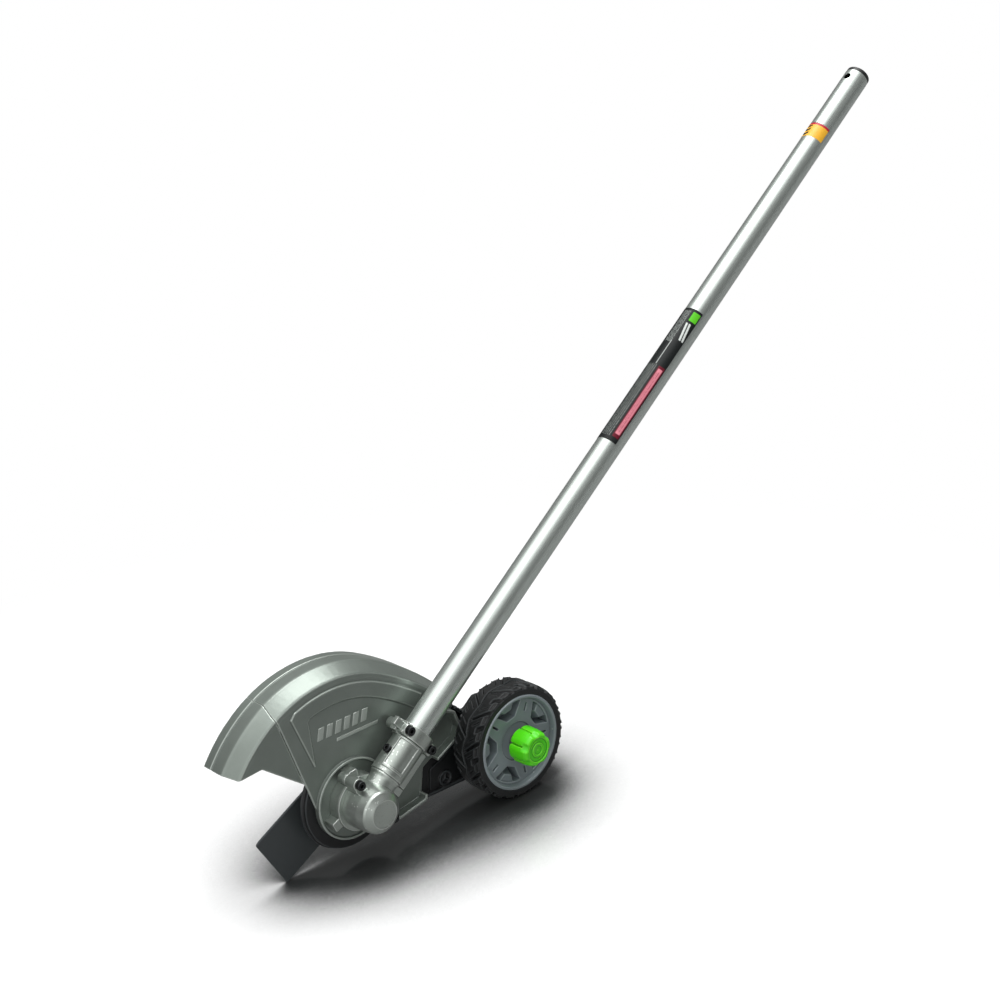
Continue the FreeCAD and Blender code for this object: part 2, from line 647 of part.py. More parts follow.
def guard_plate():
    """The flat side of the guard under the crown, out to the swept band."""
    overlap = 1.5
    radius = CROWN_R - BAND + overlap
    rear_r = REAR_ARC_R - BAND + overlap
    first = polar(radius, 40.0, GUARD_CENTRE)
    middle = polar(radius, 75.0, GUARD_CENTRE)
    blend = polar(radius, REAR_BLEND_ANGLE, GUARD_CENTRE)
    rear_middle = polar(rear_r, REAR_BLEND_ANGLE + REAR_ARC_SWEEP / 2, REAR_CENTRE)
    rear_end = polar(rear_r, REAR_BLEND_ANGLE + REAR_ARC_SWEEP, REAR_CENTRE)
    corners = [V(x, PLATE_BACK, z) for x, z in (first, middle, blend, rear_middle, rear_end)]
    inside = [V(x, PLATE_BACK, z) for x, z in ((-60.0, 10.0), (-30.0, -20.0), (30.0, -22.0), FRONT_EDGE[2])]
    edges = [Part.Arc(corners[0], corners[1], corners[2]).toShape(),
             Part.Arc(corners[2], corners[3], corners[4]).toShape()]
    line = [corners[4]] + inside + [corners[0]]
    edges += [Part.LineSegment(a, b).toShape() for a, b in zip(line, line[1:])]
    return Part.Face(Part.Wire(edges)).extrude(V(0, PLATE_Y - PLATE_BACK, 0))


def guard_stripe():
    """The raised stripe that follows the crown and turns down along the front edge."""
    outer, inner = STRIPE
    near = [(outer + 1.2, -3.0), (outer - 0.4, 0.0)]
    far = [(inner + 0.4, 0.0), (inner - 1.2, -3.0)]
    main = band(GUARD_CENTRE, CROWN_R, STRIPE_START, REAR_BLEND_ANGLE - STRIPE_START, near, far)
    rear = band(REAR_CENTRE, REAR_ARC_R, REAR_BLEND_ANGLE, STRIPE_REAR_SWEEP, near, far)
    return union([main, rear, rounded_prism(STRIPE_LEG, 0.6, -3.0, 0.0)])


def blade_guard():
    """The moulded guard: crown, side plate with a raised stripe, boss ring and rear wing."""
    near = [(BAND, PLATE_Y), (12.0, PLATE_Y)] + CROWN_NEAR
    far = CROWN_FAR + [(18.0, PLATE_BACK), (BAND, PLATE_BACK)]
    main = band(GUARD_CENTRE, CROWN_R, SEAM_ANGLE - 8, REAR_BLEND_ANGLE - SEAM_ANGLE + 8, near, far)
    rear = band(REAR_CENTRE, REAR_ARC_R, REAR_BLEND_ANGLE, REAR_ARC_SWEEP, near, far)
    boss = y_rod(BOSS_R, PLATE_BACK, 0)
    lip = y_ring(BOSS_R, BOSS_R - 2.0, -1, BOSS_LIP)
    shell = union([main, rear, guard_plate(), boss, guard_wing(), lip, guard_stripe()])
    tools = [front_tool(0.0), y_rod(SPIGOT_R + FIT, -20, 20)]
    for angle in LUG_ANGLES:
        tools.append(y_rod(SCREW_R + FIT, -20, 20, polar(LUG_CIRCLE_R, angle)))
    for centre in BRACKET_SCREWS:
        tools.append(y_rod(SCREW_R + FIT, -20, PLATE_Y - 0.9, centre))
    for centre in FLAP_SCREWS:
        tools.append(y_rod(FLAP_SCREW_R + FIT, -20, PLATE_Y - 1.1, centre))
    return cut_all(shell, tools)


def front_flap():
    """The separate front end of the guard, screwed behind the guard's front edge."""
    seam = 0.35
    thin = PLATE_BACK - 0.6
    near = [(13.0, FLAP_Y)] + CROWN_NEAR
    far = CROWN_FAR[:3] + [(13.0, thin)]
    crown = band(FRONT_CENTRE, FRONT_ARC_R, SEAM_ANGLE - FRONT_ARC_SWEEP, FRONT_ARC_SWEEP, near, far)
    stub = band(GUARD_CENTRE, CROWN_R, SEAM_ANGLE, 6.0, near, far)
    inner_r = FRONT_ARC_R - 11.0
    low = polar(inner_r, SEAM_ANGLE - FRONT_ARC_SWEEP, FRONT_CENTRE)
    middle = polar(inner_r, SEAM_ANGLE - FRONT_ARC_SWEEP / 2, FRONT_CENTRE)
    high = polar(inner_r, SEAM_ANGLE + 4, FRONT_CENTRE)
    points = [V(x, thin, z) for x, z in (low, middle, high, (38.0, 20.0), (92.0, 40.0))]
    edges = [Part.Arc(*points[:3]).toShape()]
    edges += [Part.LineSegment(a, b).toShape() for a, b in zip(points[2:], points[3:] + points[:1])]
    side = Part.Face(Part.Wire(edges)).extrude(V(0, FLAP_Y - thin, 0))
    below = rounded_prism([(45.0, 23.5), (92.5, 53.0), (115.5, 48.5), (124.0, 51.0), (150.0, 47.0),
                           (150.0, -30.0), (45.0, -30.0)], 1.5, LIP_Y - 5, 5)
    flap = union([crown, stub, side]).cut(below).common(front_tool(seam))
    strip = rounded_prism([(56.0, 34.0), (75.5, 78.0), (64.0, 83.0), (48.0, 80.0), (37.5, 46.0),
                           (42.0, 38.0)], 2.5, FLAP_STRIP_BACK, PLATE_BACK - SEAT)
    holes = [y_rod(FLAP_SCREW_R + FIT, -20, 0, centre) for centre in FLAP_SCREWS]
    return cut_all(union([flap, strip]), holes)


def flap_screws():
    """Two screws, put in from the blade side, that hold the flap's strip to the guard."""
    head = 3.4
    return [socket_screw(V(x, FLAP_STRIP_BACK - SEAT - head, z), SIDE, 4.2, FLAP_SCREW_R, 3.5, head)
            for x, z in FLAP_SCREWS]


def debris_shield():
    """The cup around the blade hub that keeps grass out of the bearing."""
    floor = y_ring(SHIELD_R, SPIGOT_R + 0.3, SHIELD_Y[1] - 2.0, SHIELD_Y[1] - SEAT)
    wall = y_ring(SHIELD_R, SHIELD_R - 2.0, SHIELD_Y[0], SHIELD_Y[1] - SEAT)
    rim = turned([(SHIELD_R, SHIELD_Y[0]), (SHIELD_R + 1.6, SHIELD_Y[0]), (SHIELD_R + 1.6, SHIELD_Y[0] + 1.8),
                  (SHIELD_R, SHIELD_Y[0] + 2.6)])
    holes = [y_rod(SCREW_R + FIT, -20, 20, polar(LUG_CIRCLE_R, angle)) for angle in LUG_ANGLES]
    return cut_all(union([floor, wall, rim]), holes)


def guard_screws():
    """Three screws, put in from the blade side, that hold shield, guard and gear head together."""
    screws = []
    for angle in LUG_ANGLES:
        x, z = polar(LUG_CIRCLE_R, angle)
        screws.append(socket_screw(V(x, SHIELD_Y[1] - 2.0 - SEAT - SCREW_HEAD, z), SIDE, 15.0))
    return screws


# ---------------------------------------------------------------- cutting group
def output_shaft():
    """The stepped shaft that carries the driven gear and the blade."""
    step = CAP_BEARING_Y - SMALL_BEARING[2] / 2
    lower = y_rod(SHAFT_R, -39.0, step - 0.4)
    upper = y_rod(SMALL_BEARING[0], step - 1, CAP_BEARING_Y + SMALL_BEARING[2] / 2 + 0.4)
    point = Part.makeCone(3.8, SHAFT_R, 1.5, V(0, -40.5, 0), SIDE)
    return union([lower, upper, point])


def inner_flange():
    """The flange that drives the blade, with a pilot for the blade's arbor hole."""
    face = BLADE_Y + BLADE_THICK / 2 + SEAT
    profile = [(SHAFT_R + FIT, BASE_BEARING_Y - 4 - SEAT), (7.0, BASE_BEARING_Y - 4 - SEAT),
               (7.0, -8.0), (10.0, -8.0), (12.0, -17.5), (FLANGE_R, -18.5), (FLANGE_R, face), (PILOT_R, face),
               (PILOT_R, face - 1.8), (SHAFT_R + FIT, face - 1.8)]
    return turned(profile)


def blade():
    """The flat edging blade, bevelled along both ends, with a round arbor hole."""
    half_length = BLADE_LENGTH / 2
    half_width = BLADE_WIDTH / 2
    outline = [(half_length, half_width), (-half_length, half_width), (-half_length, -half_width),
               (half_length, -half_width)]
    low = BLADE_Y - BLADE_THICK / 2
    high = BLADE_Y + BLADE_THICK / 2
    plate = rounded_prism(outline, 2.0, low, high)
    bevels = []
    for side in (1, -1):
        edge = [V(side * (half_length - 5), low, -40), V(side * (half_length + 1), low, -40),
                V(side * (half_length + 1), low + 1.4, -40)]
        bevels.append(Part.Face(Part.makePolygon(edge + edge[:1])).extrude(V(0, 0, 80)))
    holes = [y_rod(PILOT_R + FIT, -60, 0)]
    holes += [y_rod(3.0, -60, 0, (offset, 0)) for offset in (-30.0, 30.0)]
    return spun(cut_all(plate, bevels + holes), BLADE_TILT)


def outer_flange():
    """The dished washer under the blade nut."""
    top = BLADE_Y - BLADE_THICK / 2 - SEAT
    profile = [(SHAFT_R + FIT, top - 1.0), (9.0, top - 1.0), (11.5, top), (FLANGE_R - 2, top),
               (FLANGE_R - 2, top - 1.5), (12.0, top - 3.2), (SHAFT_R + FIT, top - 3.2)]
    return turned(profile)


def blade_nut():
    """A flanged hexagon nut."""
    top = BLADE_Y - BLADE_THICK / 2 - 3.2 - 2 * SEAT
    across_flats = 17.0
    corner_r = across_flats / 2 / math.cos(math.radians(30))
    corners = [polar(corner_r, 60 * step + BLADE_TILT) for step in range(6)]
    hexagon = plain_prism(corners, top - 8.0, top - 1)
    round_off = turned([(0, top - 8.1), (8.9, top - 8.1), (10.4, top - 7.0), (10.4, top), (0, top)])
    washer = y_rod(10.6, top - 2.0, top)
    return union([hexagon.common(round_off), washer]).cut(y_rod(SHAFT_R + FIT, top - 20, top + 1))


# ---------------------------------------------------------------- wheel bracket and depth wheel
BRACKET = [(-53.5, -25.5), (-128.0, -20.5), (-178.0, -12.5), (-183.5, 2.0), (-183.5, 43.0), (-172.0, 56.5),
           (-150.0, 56.5), (-138.0, 45.5), (-130.0, 47.0), (-114.0, 60.5), (-90.0, 52.0), (-54.0, 36.0)]
BRACKET_HUB = (-107.5, -13.0)
NOTCHES = 5
SHIELD_LINE = ((-114.6, 61.2), (-130.8, 47.4))     # outer edge of the notched rear shield


def slot_outline(half_width, half_height):
    """An upright slot or boss centred on the wheel's middle setting."""
    x, z = WHEEL
    return [(x + half_width, z + half_height), (x - half_width, z + half_height),
            (x - half_width, z - half_height), (x + half_width, z - half_height)]


def wheel_bracket():
    """The moulded arm behind the guard: ribbed plate, depth slot, edge flange and notched rear shield."""
    far, near = BRACKET_Y
    plate = rounded_prism(BRACKET, 5.0, far, near)
    inset = rounded_face(BRACKET, 5.0, far - 1).makeOffset2D(-3.5)
    pocket = inset.extrude(V(0, 5.5, 0))
    reach = DEPTH_TRAVEL + SLIDER_HALF_HEIGHT + 0.3
    boss = rounded_prism(slot_outline(SLOT_HALF_WIDTH + 9, reach + 7), 7.0, far, SLOT_FACE_Y)
    slot = rounded_prism(slot_outline(SLOT_HALF_WIDTH, reach), 1.0, far - 1, SLOT_FACE_Y + 1)
    raised = rounded_prism([(-90.0, -23.0), (-128.0, -20.5), (-168.0, -14.5), (-168.0, 30.0), (-138.0, 42.0),
                            (-129.0, 44.0), (-127.0, 24.0), (-105.0, 8.0), (-90.0, 0.0)], 3.0, near - 1, -1.5)
    skirt = rounded_prism([(-85.0, -25.5), (-128.0, -21.6), (-168.0, -16.0), (-168.0, -13.0), (-128.0, -18.4),
                           (-85.0, -22.4)], 0.6, near - 1, 2.0)
    hub = y_rod(7.5, far, 0.6, BRACKET_HUB).cut(y_rod(5.6, -0.9, 5, BRACKET_HUB))
    spokes = []
    for angle in (90.0, 210.0, 330.0):
        rib = Part.makeBox(6.0, 1.6, 1.4, V(BRACKET_HUB[0], -1.4, BRACKET_HUB[1] - 0.7))
        spokes.append(spun(rib, angle, BRACKET_HUB))
    shield = plain_prism([SHIELD_LINE[0], (-112.4, 58.8), (-128.6, 45.0), SHIELD_LINE[1]], -30.0, 0.5)
    notches = []
    for index in range(NOTCHES):
        share = (index + 0.5) / NOTCHES
        x = SHIELD_LINE[0][0] + (SHIELD_LINE[1][0] - SHIELD_LINE[0][0]) * share
        z = SHIELD_LINE[0][1] + (SHIELD_LINE[1][1] - SHIELD_LINE[0][1]) * share
        notches.append(y_rod(1.1, -31, 1, (x, z)))
    ribs = [plain_prism([(-150, 20), (-150, 24), (-57, 8), (-57, 4)], far, far + 6),
            plain_prism([(-100, 54), (-104, 54), (-104, -20), (-100, -20)], far, far + 6),
            plain_prism([(-148, -10), (-148, -6), (-104, 30), (-104, 26)], far, far + 6)]
    pads = [y_rod(6.5, far, near, centre) for centre in BRACKET_SCREWS]
    body = union([plate.cut(pocket), boss, raised, skirt, hub, shield] + spokes + ribs + pads)
    grooves = []
    x, z = WHEEL
    for index in range(-6, 7):
        for side in (-1, 1):
            centre = x + side * (SLOT_HALF_WIDTH + 4.5)
            corner = V(centre - 2.5, SLOT_FACE_Y - 0.8, z + 4.0 * index - 0.8)
            grooves.append(Part.makeBox(5.0, 0.8, 1.6, corner))
    holes = [y_rod(SCREW_R + FIT, -40, 40, centre) for centre in BRACKET_SCREWS]
    under_crown = band(REAR_CENTRE, REAR_ARC_R, REAR_BLEND_ANGLE, REAR_ARC_SWEEP + 0.5,
                       [(22.0, 10.0), (22.0, PLATE_BACK - SEAT), (18.1, PLATE_BACK - 0.2),
                        (12.9, PLATE_BACK - 1.0), (9.4, -7.2), (2.1, -22.4)],
                       [(2.2, LIP_Y - 1), (-10.0, LIP_Y - 1), (-10.0, 10.0)])
    return cut_all(body, notches + [slot, under_crown] + holes + grooves)


def bracket_screws():
    """Three screws, put in from the blade side, that hold the bracket to the guard's wing."""
    return [socket_screw(V(x, BRACKET_Y[0] - SEAT - SCREW_HEAD, z), SIDE, 9.4) for x, z in BRACKET_SCREWS]


def axle_bolt():
    """The bolt through the slot; its square neck is held by the slider plate."""
    head_top = BRACKET_Y[0] - 2.6
    head = turned([(0, head_top - 4.4), (4.5, head_top - 4.2), (8.0, head_top - 2.4), (9.0, head_top),
                   (0, head_top)], WHEEL)
    return union([head, y_rod(BOLT_R, head_top - 1, 60.0, WHEEL)])


def slider_block():
    """The block that slides in the slot without turning, with a plate behind the bracket."""
    far = BRACKET_Y[0]
    block_outline = slot_outline(SLOT_HALF_WIDTH - 0.06, SLIDER_HALF_HEIGHT)
    plate_outline = slot_outline(SLOT_HALF_WIDTH + 7, SLIDER_HALF_HEIGHT + 3)
    block = rounded_prism(block_outline, 0.9, far - 1, SLOT_FACE_Y - 0.1)
    plate = rounded_prism(plate_outline, 3.0, far - 2.55, far - 0.06)
    return union([block, plate]).cut(y_rod(BOLT_R + FIT, -40, 40, WHEEL))


def axle_sleeve():
    """The flanged sleeve that the wheel turns on."""
    start = SLOT_FACE_Y + 0.06
    profile = [(BOLT_R + FIT, start), (14.0, start), (14.0, start + 1.8), (SLEEVE_R, start + 2.6),
               (SLEEVE_R, SLEEVE_END), (BOLT_R + FIT, SLEEVE_END)]
    return turned(profile, WHEEL)


def axle_washer():
    return y_ring(12.5, BOLT_R + FIT, SLEEVE_END + SEAT, KNOB_SPAN[0] - SEAT, WHEEL)


def around_wheel(shape, angle):
    """A copy of a shape modelled on the +X side of the wheel, turned about the wheel's axis."""
    return spun(shape, angle, WHEEL)


def wheel_rim():
    """The moulded rim: outer ring, five slotted spokes with pockets between them, and a hub."""
    low, high = RIM_SPAN
    ring = turned([(40.0, low), (RIM_R, low), (RIM_R, high - 0.8), (RIM_R - 0.8, high), (RIM_R - 2.6, high),
                   (RIM_R - 3.6, high - 1.4), (42.0, FACE_Y), (40.0, FACE_Y)], WHEEL)
    web = y_rod(41.0, 24.0, FACE_Y, WHEEL)
    hub = y_rod(13.5, 8.8, FACE_Y, WHEEL)
    hub_recess = y_ring(HUB_R, 1.0, HUB_FACE_Y, FACE_Y + 1, WHEEL)
    x, z = WHEEL
    back_ribs = []
    pocket_tools = []
    mounds = []
    for index in range(SPOKES):
        pocket_angle = 360.0 * index / SPOKES
        spoke_angle = pocket_angle + 180.0 / SPOKES
        rib = Part.makeBox(30.0, 10.0, 2.4, V(x + 12.0, 14.5, z - 1.2))
        back_ribs.append(around_wheel(rib, spoke_angle))
        pocket = rounded_prism([(x + 25.0, z + 5.0), (x + 33.0, z + 12.5), (x + 38.0, z + 18.0),
                                (x + 42.0, z + 8.0), (x + 42.0, z - 8.0), (x + 38.0, z - 18.0),
                                (x + 33.0, z - 12.5), (x + 25.0, z - 5.0)], 2.2, 27.0, FACE_Y + 1)
        pocket_tools.append(around_wheel(pocket, pocket_angle))
        slit = rounded_prism([(x + 29.0, z + 1.1), (x + 37.5, z + 1.1), (x + 37.5, z - 1.1),
                              (x + 29.0, z - 1.1)], 0.9, 33.0, FACE_Y + 1)
        pocket_tools.append(around_wheel(slit, spoke_angle))
        mound = Part.makeLoft([
            Part.makePolygon([V(x + 28.5, 26.5, z + 7), V(x + 42.0, 26.5, z + 14.5),
                              V(x + 42.0, 26.5, z - 14.5), V(x + 28.5, 26.5, z - 7),
                              V(x + 28.5, 26.5, z + 7)]),
            Part.makePolygon([V(x + 33.0, 38.0, z + 4.4), V(x + 41.5, 38.0, z + 10),
                              V(x + 41.5, 38.0, z - 10), V(x + 33.0, 38.0, z - 4.4),
                              V(x + 33.0, 38.0, z + 4.4)])], True, True)
        mounds.append(around_wheel(mound, pocket_angle))
    disc = cut_all(union([web, hub]), [hub_recess] + pocket_tools)
    body = union([ring, disc] + mounds + back_ribs)
    return body.cut(y_rod(SLEEVE_R + FIT, -10, 80, WHEEL))


def tyre():
    """The solid tyre, with slanting grooves across its shoulders."""
    low, high = TYRE_SPAN
    inner = RIM_R + SEAT
    section = [(inner, low + 1), (50.5, low), (52.6, low + 1.5), (54.2, low + 6), (TYRE_R, low + 11),
               (TYRE_R, high - 11), (54.2, high - 6), (52.6, high - 1.5), (50.5, high), (inner, high - 0.6)]
    body = turned(section, WHEEL)
    grooves = []
    x, z = WHEEL
    for index in range(TREAD_BLOCKS):
        angle = 360.0 * index / TREAD_BLOCKS
        for start, lean in ((low - 1, 24.0), (high - 12, -24.0)):
            groove = Part.makeBox(6.0, 13.0, 2.0, V(x + TYRE_R - 2.6, start, z - 1.0))
            groove.rotate(V(x, start + 6.5, z), V(1, 0, 0), lean)
            grooves.append(around_wheel(groove, angle))
    return body.cut(Part.makeCompound(grooves))


def depth_knob():
    """The clamp knob: six grip lobes, a tapered skirt and a ringed face."""
    low, high = KNOB_SPAN
    body = turned([(0, low), (KNOB_R - 0.8, low), (KNOB_R, low + 0.8), (KNOB_R - 0.5, high - 8),
                   (KNOB_R - 1.4, high - 4), (KNOB_FACE_R, high - 0.6), (KNOB_FACE_R - 0.8, high),
                   (11.6, high), (11.0, high - 1.2), (7.2, high - 1.2), (6.8, high - 0.2), (4.4, high - 0.2),
                   (4.0, high - 1.0), (0, high - 1.0)], WHEEL)
    x, z = WHEEL
    slots = []
    for index in range(KNOB_LOBES):
        slot = rounded_prism([(x + KNOB_R - 2.2, z + 0.8), (x + KNOB_R + 4, z + 1.6),
                              (x + KNOB_R + 4, z - 1.6), (x + KNOB_R - 2.2, z - 0.8)],
                             0.6, low - 1, high - 6.5)
        slots.append(around_wheel(slot, KNOB_TURN + 360.0 * (index + 0.5) / KNOB_LOBES))
    hollow = y_ring(13.4, 8.8, low - 1, low + 14, WHEEL)
    insert_hole = y_rod(6.5 + SEAT, low - 1, low + 14 + SEAT, WHEEL)
    bolt_hole = y_rod(BOLT_R + 0.5, low - 1, 62.0, WHEEL)
    return cut_all(body, slots + [hollow, insert_hole, bolt_hole])


def knob_insert():
    """The brass threaded insert moulded into the knob."""
    low = KNOB_SPAN[0]
    body = y_ring(6.5, BOLT_R + FIT, low, low + 14, WHEEL)
    groove = y_ring(8.0, 5.9, low + 5.5, low + 8.5, WHEEL)
    return body.cut(groove)


# ---------------------------------------------------------------- export
os.makedirs("parts", exist_ok=True)

export("shaft_tube", shaft_tube())
export("shaft_label", wrapped_label(LABEL_SPAN, LABEL_ARC))
export("insertion_label", wrapped_label(INSERTION_SPAN, INSERTION_ARC))
export("insertion_line", wrapped_label(INSERTION_LINE_SPAN, INSERTION_ARC))
export("drive_shaft", drive_shaft())
export_group("drive_shaft_bushes", drive_bushes())
export("end_cap", end_cap())

export("gear_housing", gear_housing())
export("housing_base", housing_base())
export("clamp_cap", clamp_cap())
export_group("clamp_screws", clamp_screws())
export("locating_screw", locating_screw())
export_group("housing_screws", housing_screws())
export("shaft_seal", shaft_seal())
export("bearing_circlip", bearing_circlip())

neck_outer, neck_inner, neck_balls = pinion_bearings()
cap_outer, cap_inner, cap_balls = output_bearing(SMALL_BEARING, CAP_BEARING_Y)
base_outer, base_inner, base_balls = output_bearing(LARGE_BEARING, BASE_BEARING_Y)
export_group("pinion_bearing_outer_races", neck_outer)
export_group("pinion_bearing_inner_races", neck_inner)
export_group("pinion_bearing_balls", neck_balls)
export("cap_bearing_outer_race", cap_outer)
export("cap_bearing_inner_race", cap_inner)
export("base_bearing_outer_race", base_outer)
export("base_bearing_inner_race", base_inner)
export_group("output_bearing_balls", cap_balls + base_balls)
export("pinion_shaft", pinion_shaft())
export("driven_gear", driven_gear())

export("blade_guard", blade_guard())
export("front_flap", front_flap())
export_group("flap_screws", flap_screws())
export("debris_shield", debris_shield())
export_group("guard_screws", guard_screws())

export("output_shaft", output_shaft())
export("inner_flange", inner_flange())
export("blade", blade())
export("outer_flange", outer_flange())
export("blade_nut", blade_nut())

export("wheel_bracket", wheel_bracket())
export_group("bracket_screws", bracket_screws())
export("axle_bolt", axle_bolt())
export("slider_block", slider_block())
export("axle_sleeve", axle_sleeve())
export("axle_washer", axle_washer())
export("wheel_rim", wheel_rim())
export("tyre", tyre())
export("depth_knob", depth_knob())
export("knob_insert", knob_insert())
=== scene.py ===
"""Looks of the lawn edger attachment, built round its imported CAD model.

Lengths are metres in the CAD's own frame, so every mesh is made in place.  Places come from the joints
and from the boxes of the CAD nodes.  MM turns millimetres into metres.
"""

import json
import math

import bmesh
import bpy
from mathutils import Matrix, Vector


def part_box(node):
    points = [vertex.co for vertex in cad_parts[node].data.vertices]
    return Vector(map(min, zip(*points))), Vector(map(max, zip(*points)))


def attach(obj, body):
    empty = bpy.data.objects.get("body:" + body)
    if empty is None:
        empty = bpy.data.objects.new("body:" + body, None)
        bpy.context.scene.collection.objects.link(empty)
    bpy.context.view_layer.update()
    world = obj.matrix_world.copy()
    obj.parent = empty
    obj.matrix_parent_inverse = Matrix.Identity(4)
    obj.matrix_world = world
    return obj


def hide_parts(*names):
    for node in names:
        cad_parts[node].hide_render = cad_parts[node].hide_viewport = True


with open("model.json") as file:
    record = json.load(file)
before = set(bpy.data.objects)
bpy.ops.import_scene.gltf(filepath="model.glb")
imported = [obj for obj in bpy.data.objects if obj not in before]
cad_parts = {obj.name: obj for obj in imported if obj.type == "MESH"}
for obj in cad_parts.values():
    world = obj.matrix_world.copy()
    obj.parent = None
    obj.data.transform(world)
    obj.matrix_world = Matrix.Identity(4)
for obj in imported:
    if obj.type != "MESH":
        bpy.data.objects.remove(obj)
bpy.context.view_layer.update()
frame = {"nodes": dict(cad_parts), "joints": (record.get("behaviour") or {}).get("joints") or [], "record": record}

MM = 0.001
NODES = frame["nodes"]
JOINTS = {joint["name"]: joint for joint in frame["joints"]}
HEAD = Vector(JOINTS["blade_spin"]["pos_m"])              # blade axis at the guard's outer face
WHEEL = Vector(JOINTS["wheel_spin"]["pos_m"])
KNOB = Vector(JOINTS["knob_turn"]["pos_m"])
SIDE = Vector((0, 1, 0))
ALONG = Vector(JOINTS["drive_spin"]["axis"]).normalized()  # up the tube
ACROSS = SIDE.cross(ALONG)                                 # forward and up, square to the tube

# ---------------------------------------------------------------- camera, light and floor
VIEW_TURN = math.radians(41.76)     # the camera stands ahead of the machine, on the knob's side
VIEW_DROP = math.radians(14.18)
VIEW_TARGET = HEAD + Vector((-0.2517, -0.0848, 0.2160))
VIEW_DISTANCE = 1.6
LENS = 57.6
FLOOR_SIZE = 40.0
FLOOR_FADE = (0.35, 0.9)            # distances from the head between which the floor fades to white
FLOOR_BOUNCE = 0.25                 # grey that the machine sees in the floor, darker than the floor the camera sees: painted shade that dims the floor's bounce light and its reflections on the machine
POOL_REACH = 0.34                   # how far the contact shadow painted into the floor's colour under the machine spreads
POOL_RANGE = (0.58, 0.99)           # openness of the floor at the painted shadow's core and at its outer edge
SKY = (0.07, 0.28)                  # the room's brightness at the horizon and overhead
PANELS = (                          # aim, cosines at the soft outer edge and at the core, strength
    ((0.1, 0.0, 1.0), (0.72, 0.93), 1.5),
    ((0.9, 0.42, 0.4), (0.62, 0.93), 1.15),
)
SUN_FROM = (-0.12, -0.1, 0.95)
SUN_STRENGTH = 1.9
SUN_ANGLE = math.radians(40)
WHITE = (1.0, 1.0, 1.0, 1.0)


def socket(value):
    """True if the value is a node's output and not a number or a colour."""
    return isinstance(value, bpy.types.NodeSocket)


class Graph:
    """A node tree with short calls: each returns the output that the next call takes."""

    def __init__(self, tree):
        self.tree = tree

    def node(self, kind, **settings):
        made = self.tree.nodes.new(kind)
        for name, value in settings.items():
            setattr(made, name, value)
        return made

    def feed(self, target, value):
        if socket(value):
            self.tree.links.new(value, target)
        else:
            target.default_value = value

    def math(self, operation, *values):
        made = self.node("ShaderNodeMath", operation=operation)
        for target, value in zip(made.inputs, values):
            self.feed(target, value)
        return made.outputs[0]

    def vector(self, operation, a, b):
        made = self.node("ShaderNodeVectorMath", operation=operation)
        self.feed(made.inputs[0], a)
        self.feed(made.inputs[1], b)
        return made.outputs["Value"] if operation in ("DOT_PRODUCT", "LENGTH") else made.outputs[0]

    def scaled(self, vector, factor):
        made = self.node("ShaderNodeVectorMath", operation="SCALE")
        self.feed(made.inputs[0], vector)
        self.feed(made.inputs["Scale"], factor)
        return made.outputs[0]

    def combine(self, x, y, z):
        made = self.node("ShaderNodeCombineXYZ")
        for target, value in zip(made.inputs, (x, y, z)):
            self.feed(target, value)
        return made.outputs[0]

    def ramp(self, value, low, high, out_low=0.0, out_high=1.0):
        """The value mapped smoothly from low..high to out_low..out_high."""
        made = self.node("ShaderNodeMapRange", interpolation_type="SMOOTHSTEP")
        for target, given in zip(made.inputs, (value, low, high, out_low, out_high)):
            self.feed(target, given)
        return made.outputs[0]

    def inside(self, value, low, high, soft):
        """1 where the value lies between low and high, with soft edges."""
        up = self.ramp(value, low - soft, low + soft)
        down = self.ramp(value, high - soft, high + soft, 1.0, 0.0)
        return self.math("MULTIPLY", up, down)

    def mix(self, factor, a, b):
        made = self.node("ShaderNodeMix", data_type="RGBA")
        self.feed(made.inputs[0], factor)
        self.feed(made.inputs[6], a)
        self.feed(made.inputs[7], b)
        return made.outputs[2]

    def place(self):
        """The point on the piece at rest, in metres."""
        return self.node("ShaderNodeTexCoord").outputs["Object"]

    def noise(self, size, detail=2.0, vector=None, rough=0.5):
        """Noise from 0 to 1 whose lumps are about size metres across."""
        made = self.node("ShaderNodeTexNoise")
        self.feed(made.inputs["Vector"], vector if vector is not None else self.place())
        self.feed(made.inputs["Scale"], 1.0 / size)
        self.feed(made.inputs["Detail"], detail)
        self.feed(made.inputs["Roughness"], rough)
        return made.outputs[0]

    def stretched(self, axis, factor):
        """The place, squeezed along an axis so that a noise on it draws streaks along that axis."""
        place = self.place()
        along = self.vector("DOT_PRODUCT", place, tuple(axis))
        shift = self.scaled(tuple(axis), self.math("MULTIPLY", along, factor - 1.0))
        return self.vector("ADD", place, shift)

    def bump(self, height, depth):
        made = self.node("ShaderNodeBump")
        self.feed(made.inputs["Distance"], depth)
        self.feed(made.inputs["Height"], height)
        return made.outputs[0]

    def edges(self):
        """1 on outside edges, 0 on flat and hollow places."""
        return self.ramp(self.node("ShaderNodeNewGeometry").outputs["Pointiness"], 0.503, 0.54)

    def hollows(self):
        """1 in inside corners, 0 on flat places and outside edges."""
        return self.ramp(self.node("ShaderNodeNewGeometry").outputs["Pointiness"], 0.45, 0.497, 1.0, 0.0)


def colour(red, green, blue):
    """A linear colour from 0-255 screen values."""
    linear = []
    for value in (red, green, blue):
        share = value / 255
        linear.append(share / 12.92 if share <= 0.04045 else ((share + 0.055) / 1.055) ** 2.4)
    return (*linear, 1.0)


def new_material(name):
    material = bpy.data.materials.new(name)
    material.use_nodes = True
    graph = Graph(material.node_tree)
    shader = material.node_tree.nodes["Principled BSDF"]
    return material, graph, shader


DRIFT_SIZE = 28 * MM        # size of the slow changes of colour over a finish
COLOUR_SPREAD = 0.06        # how far a finish's colour and roughness wander
ROUGHNESS_SPREAD = 0.08


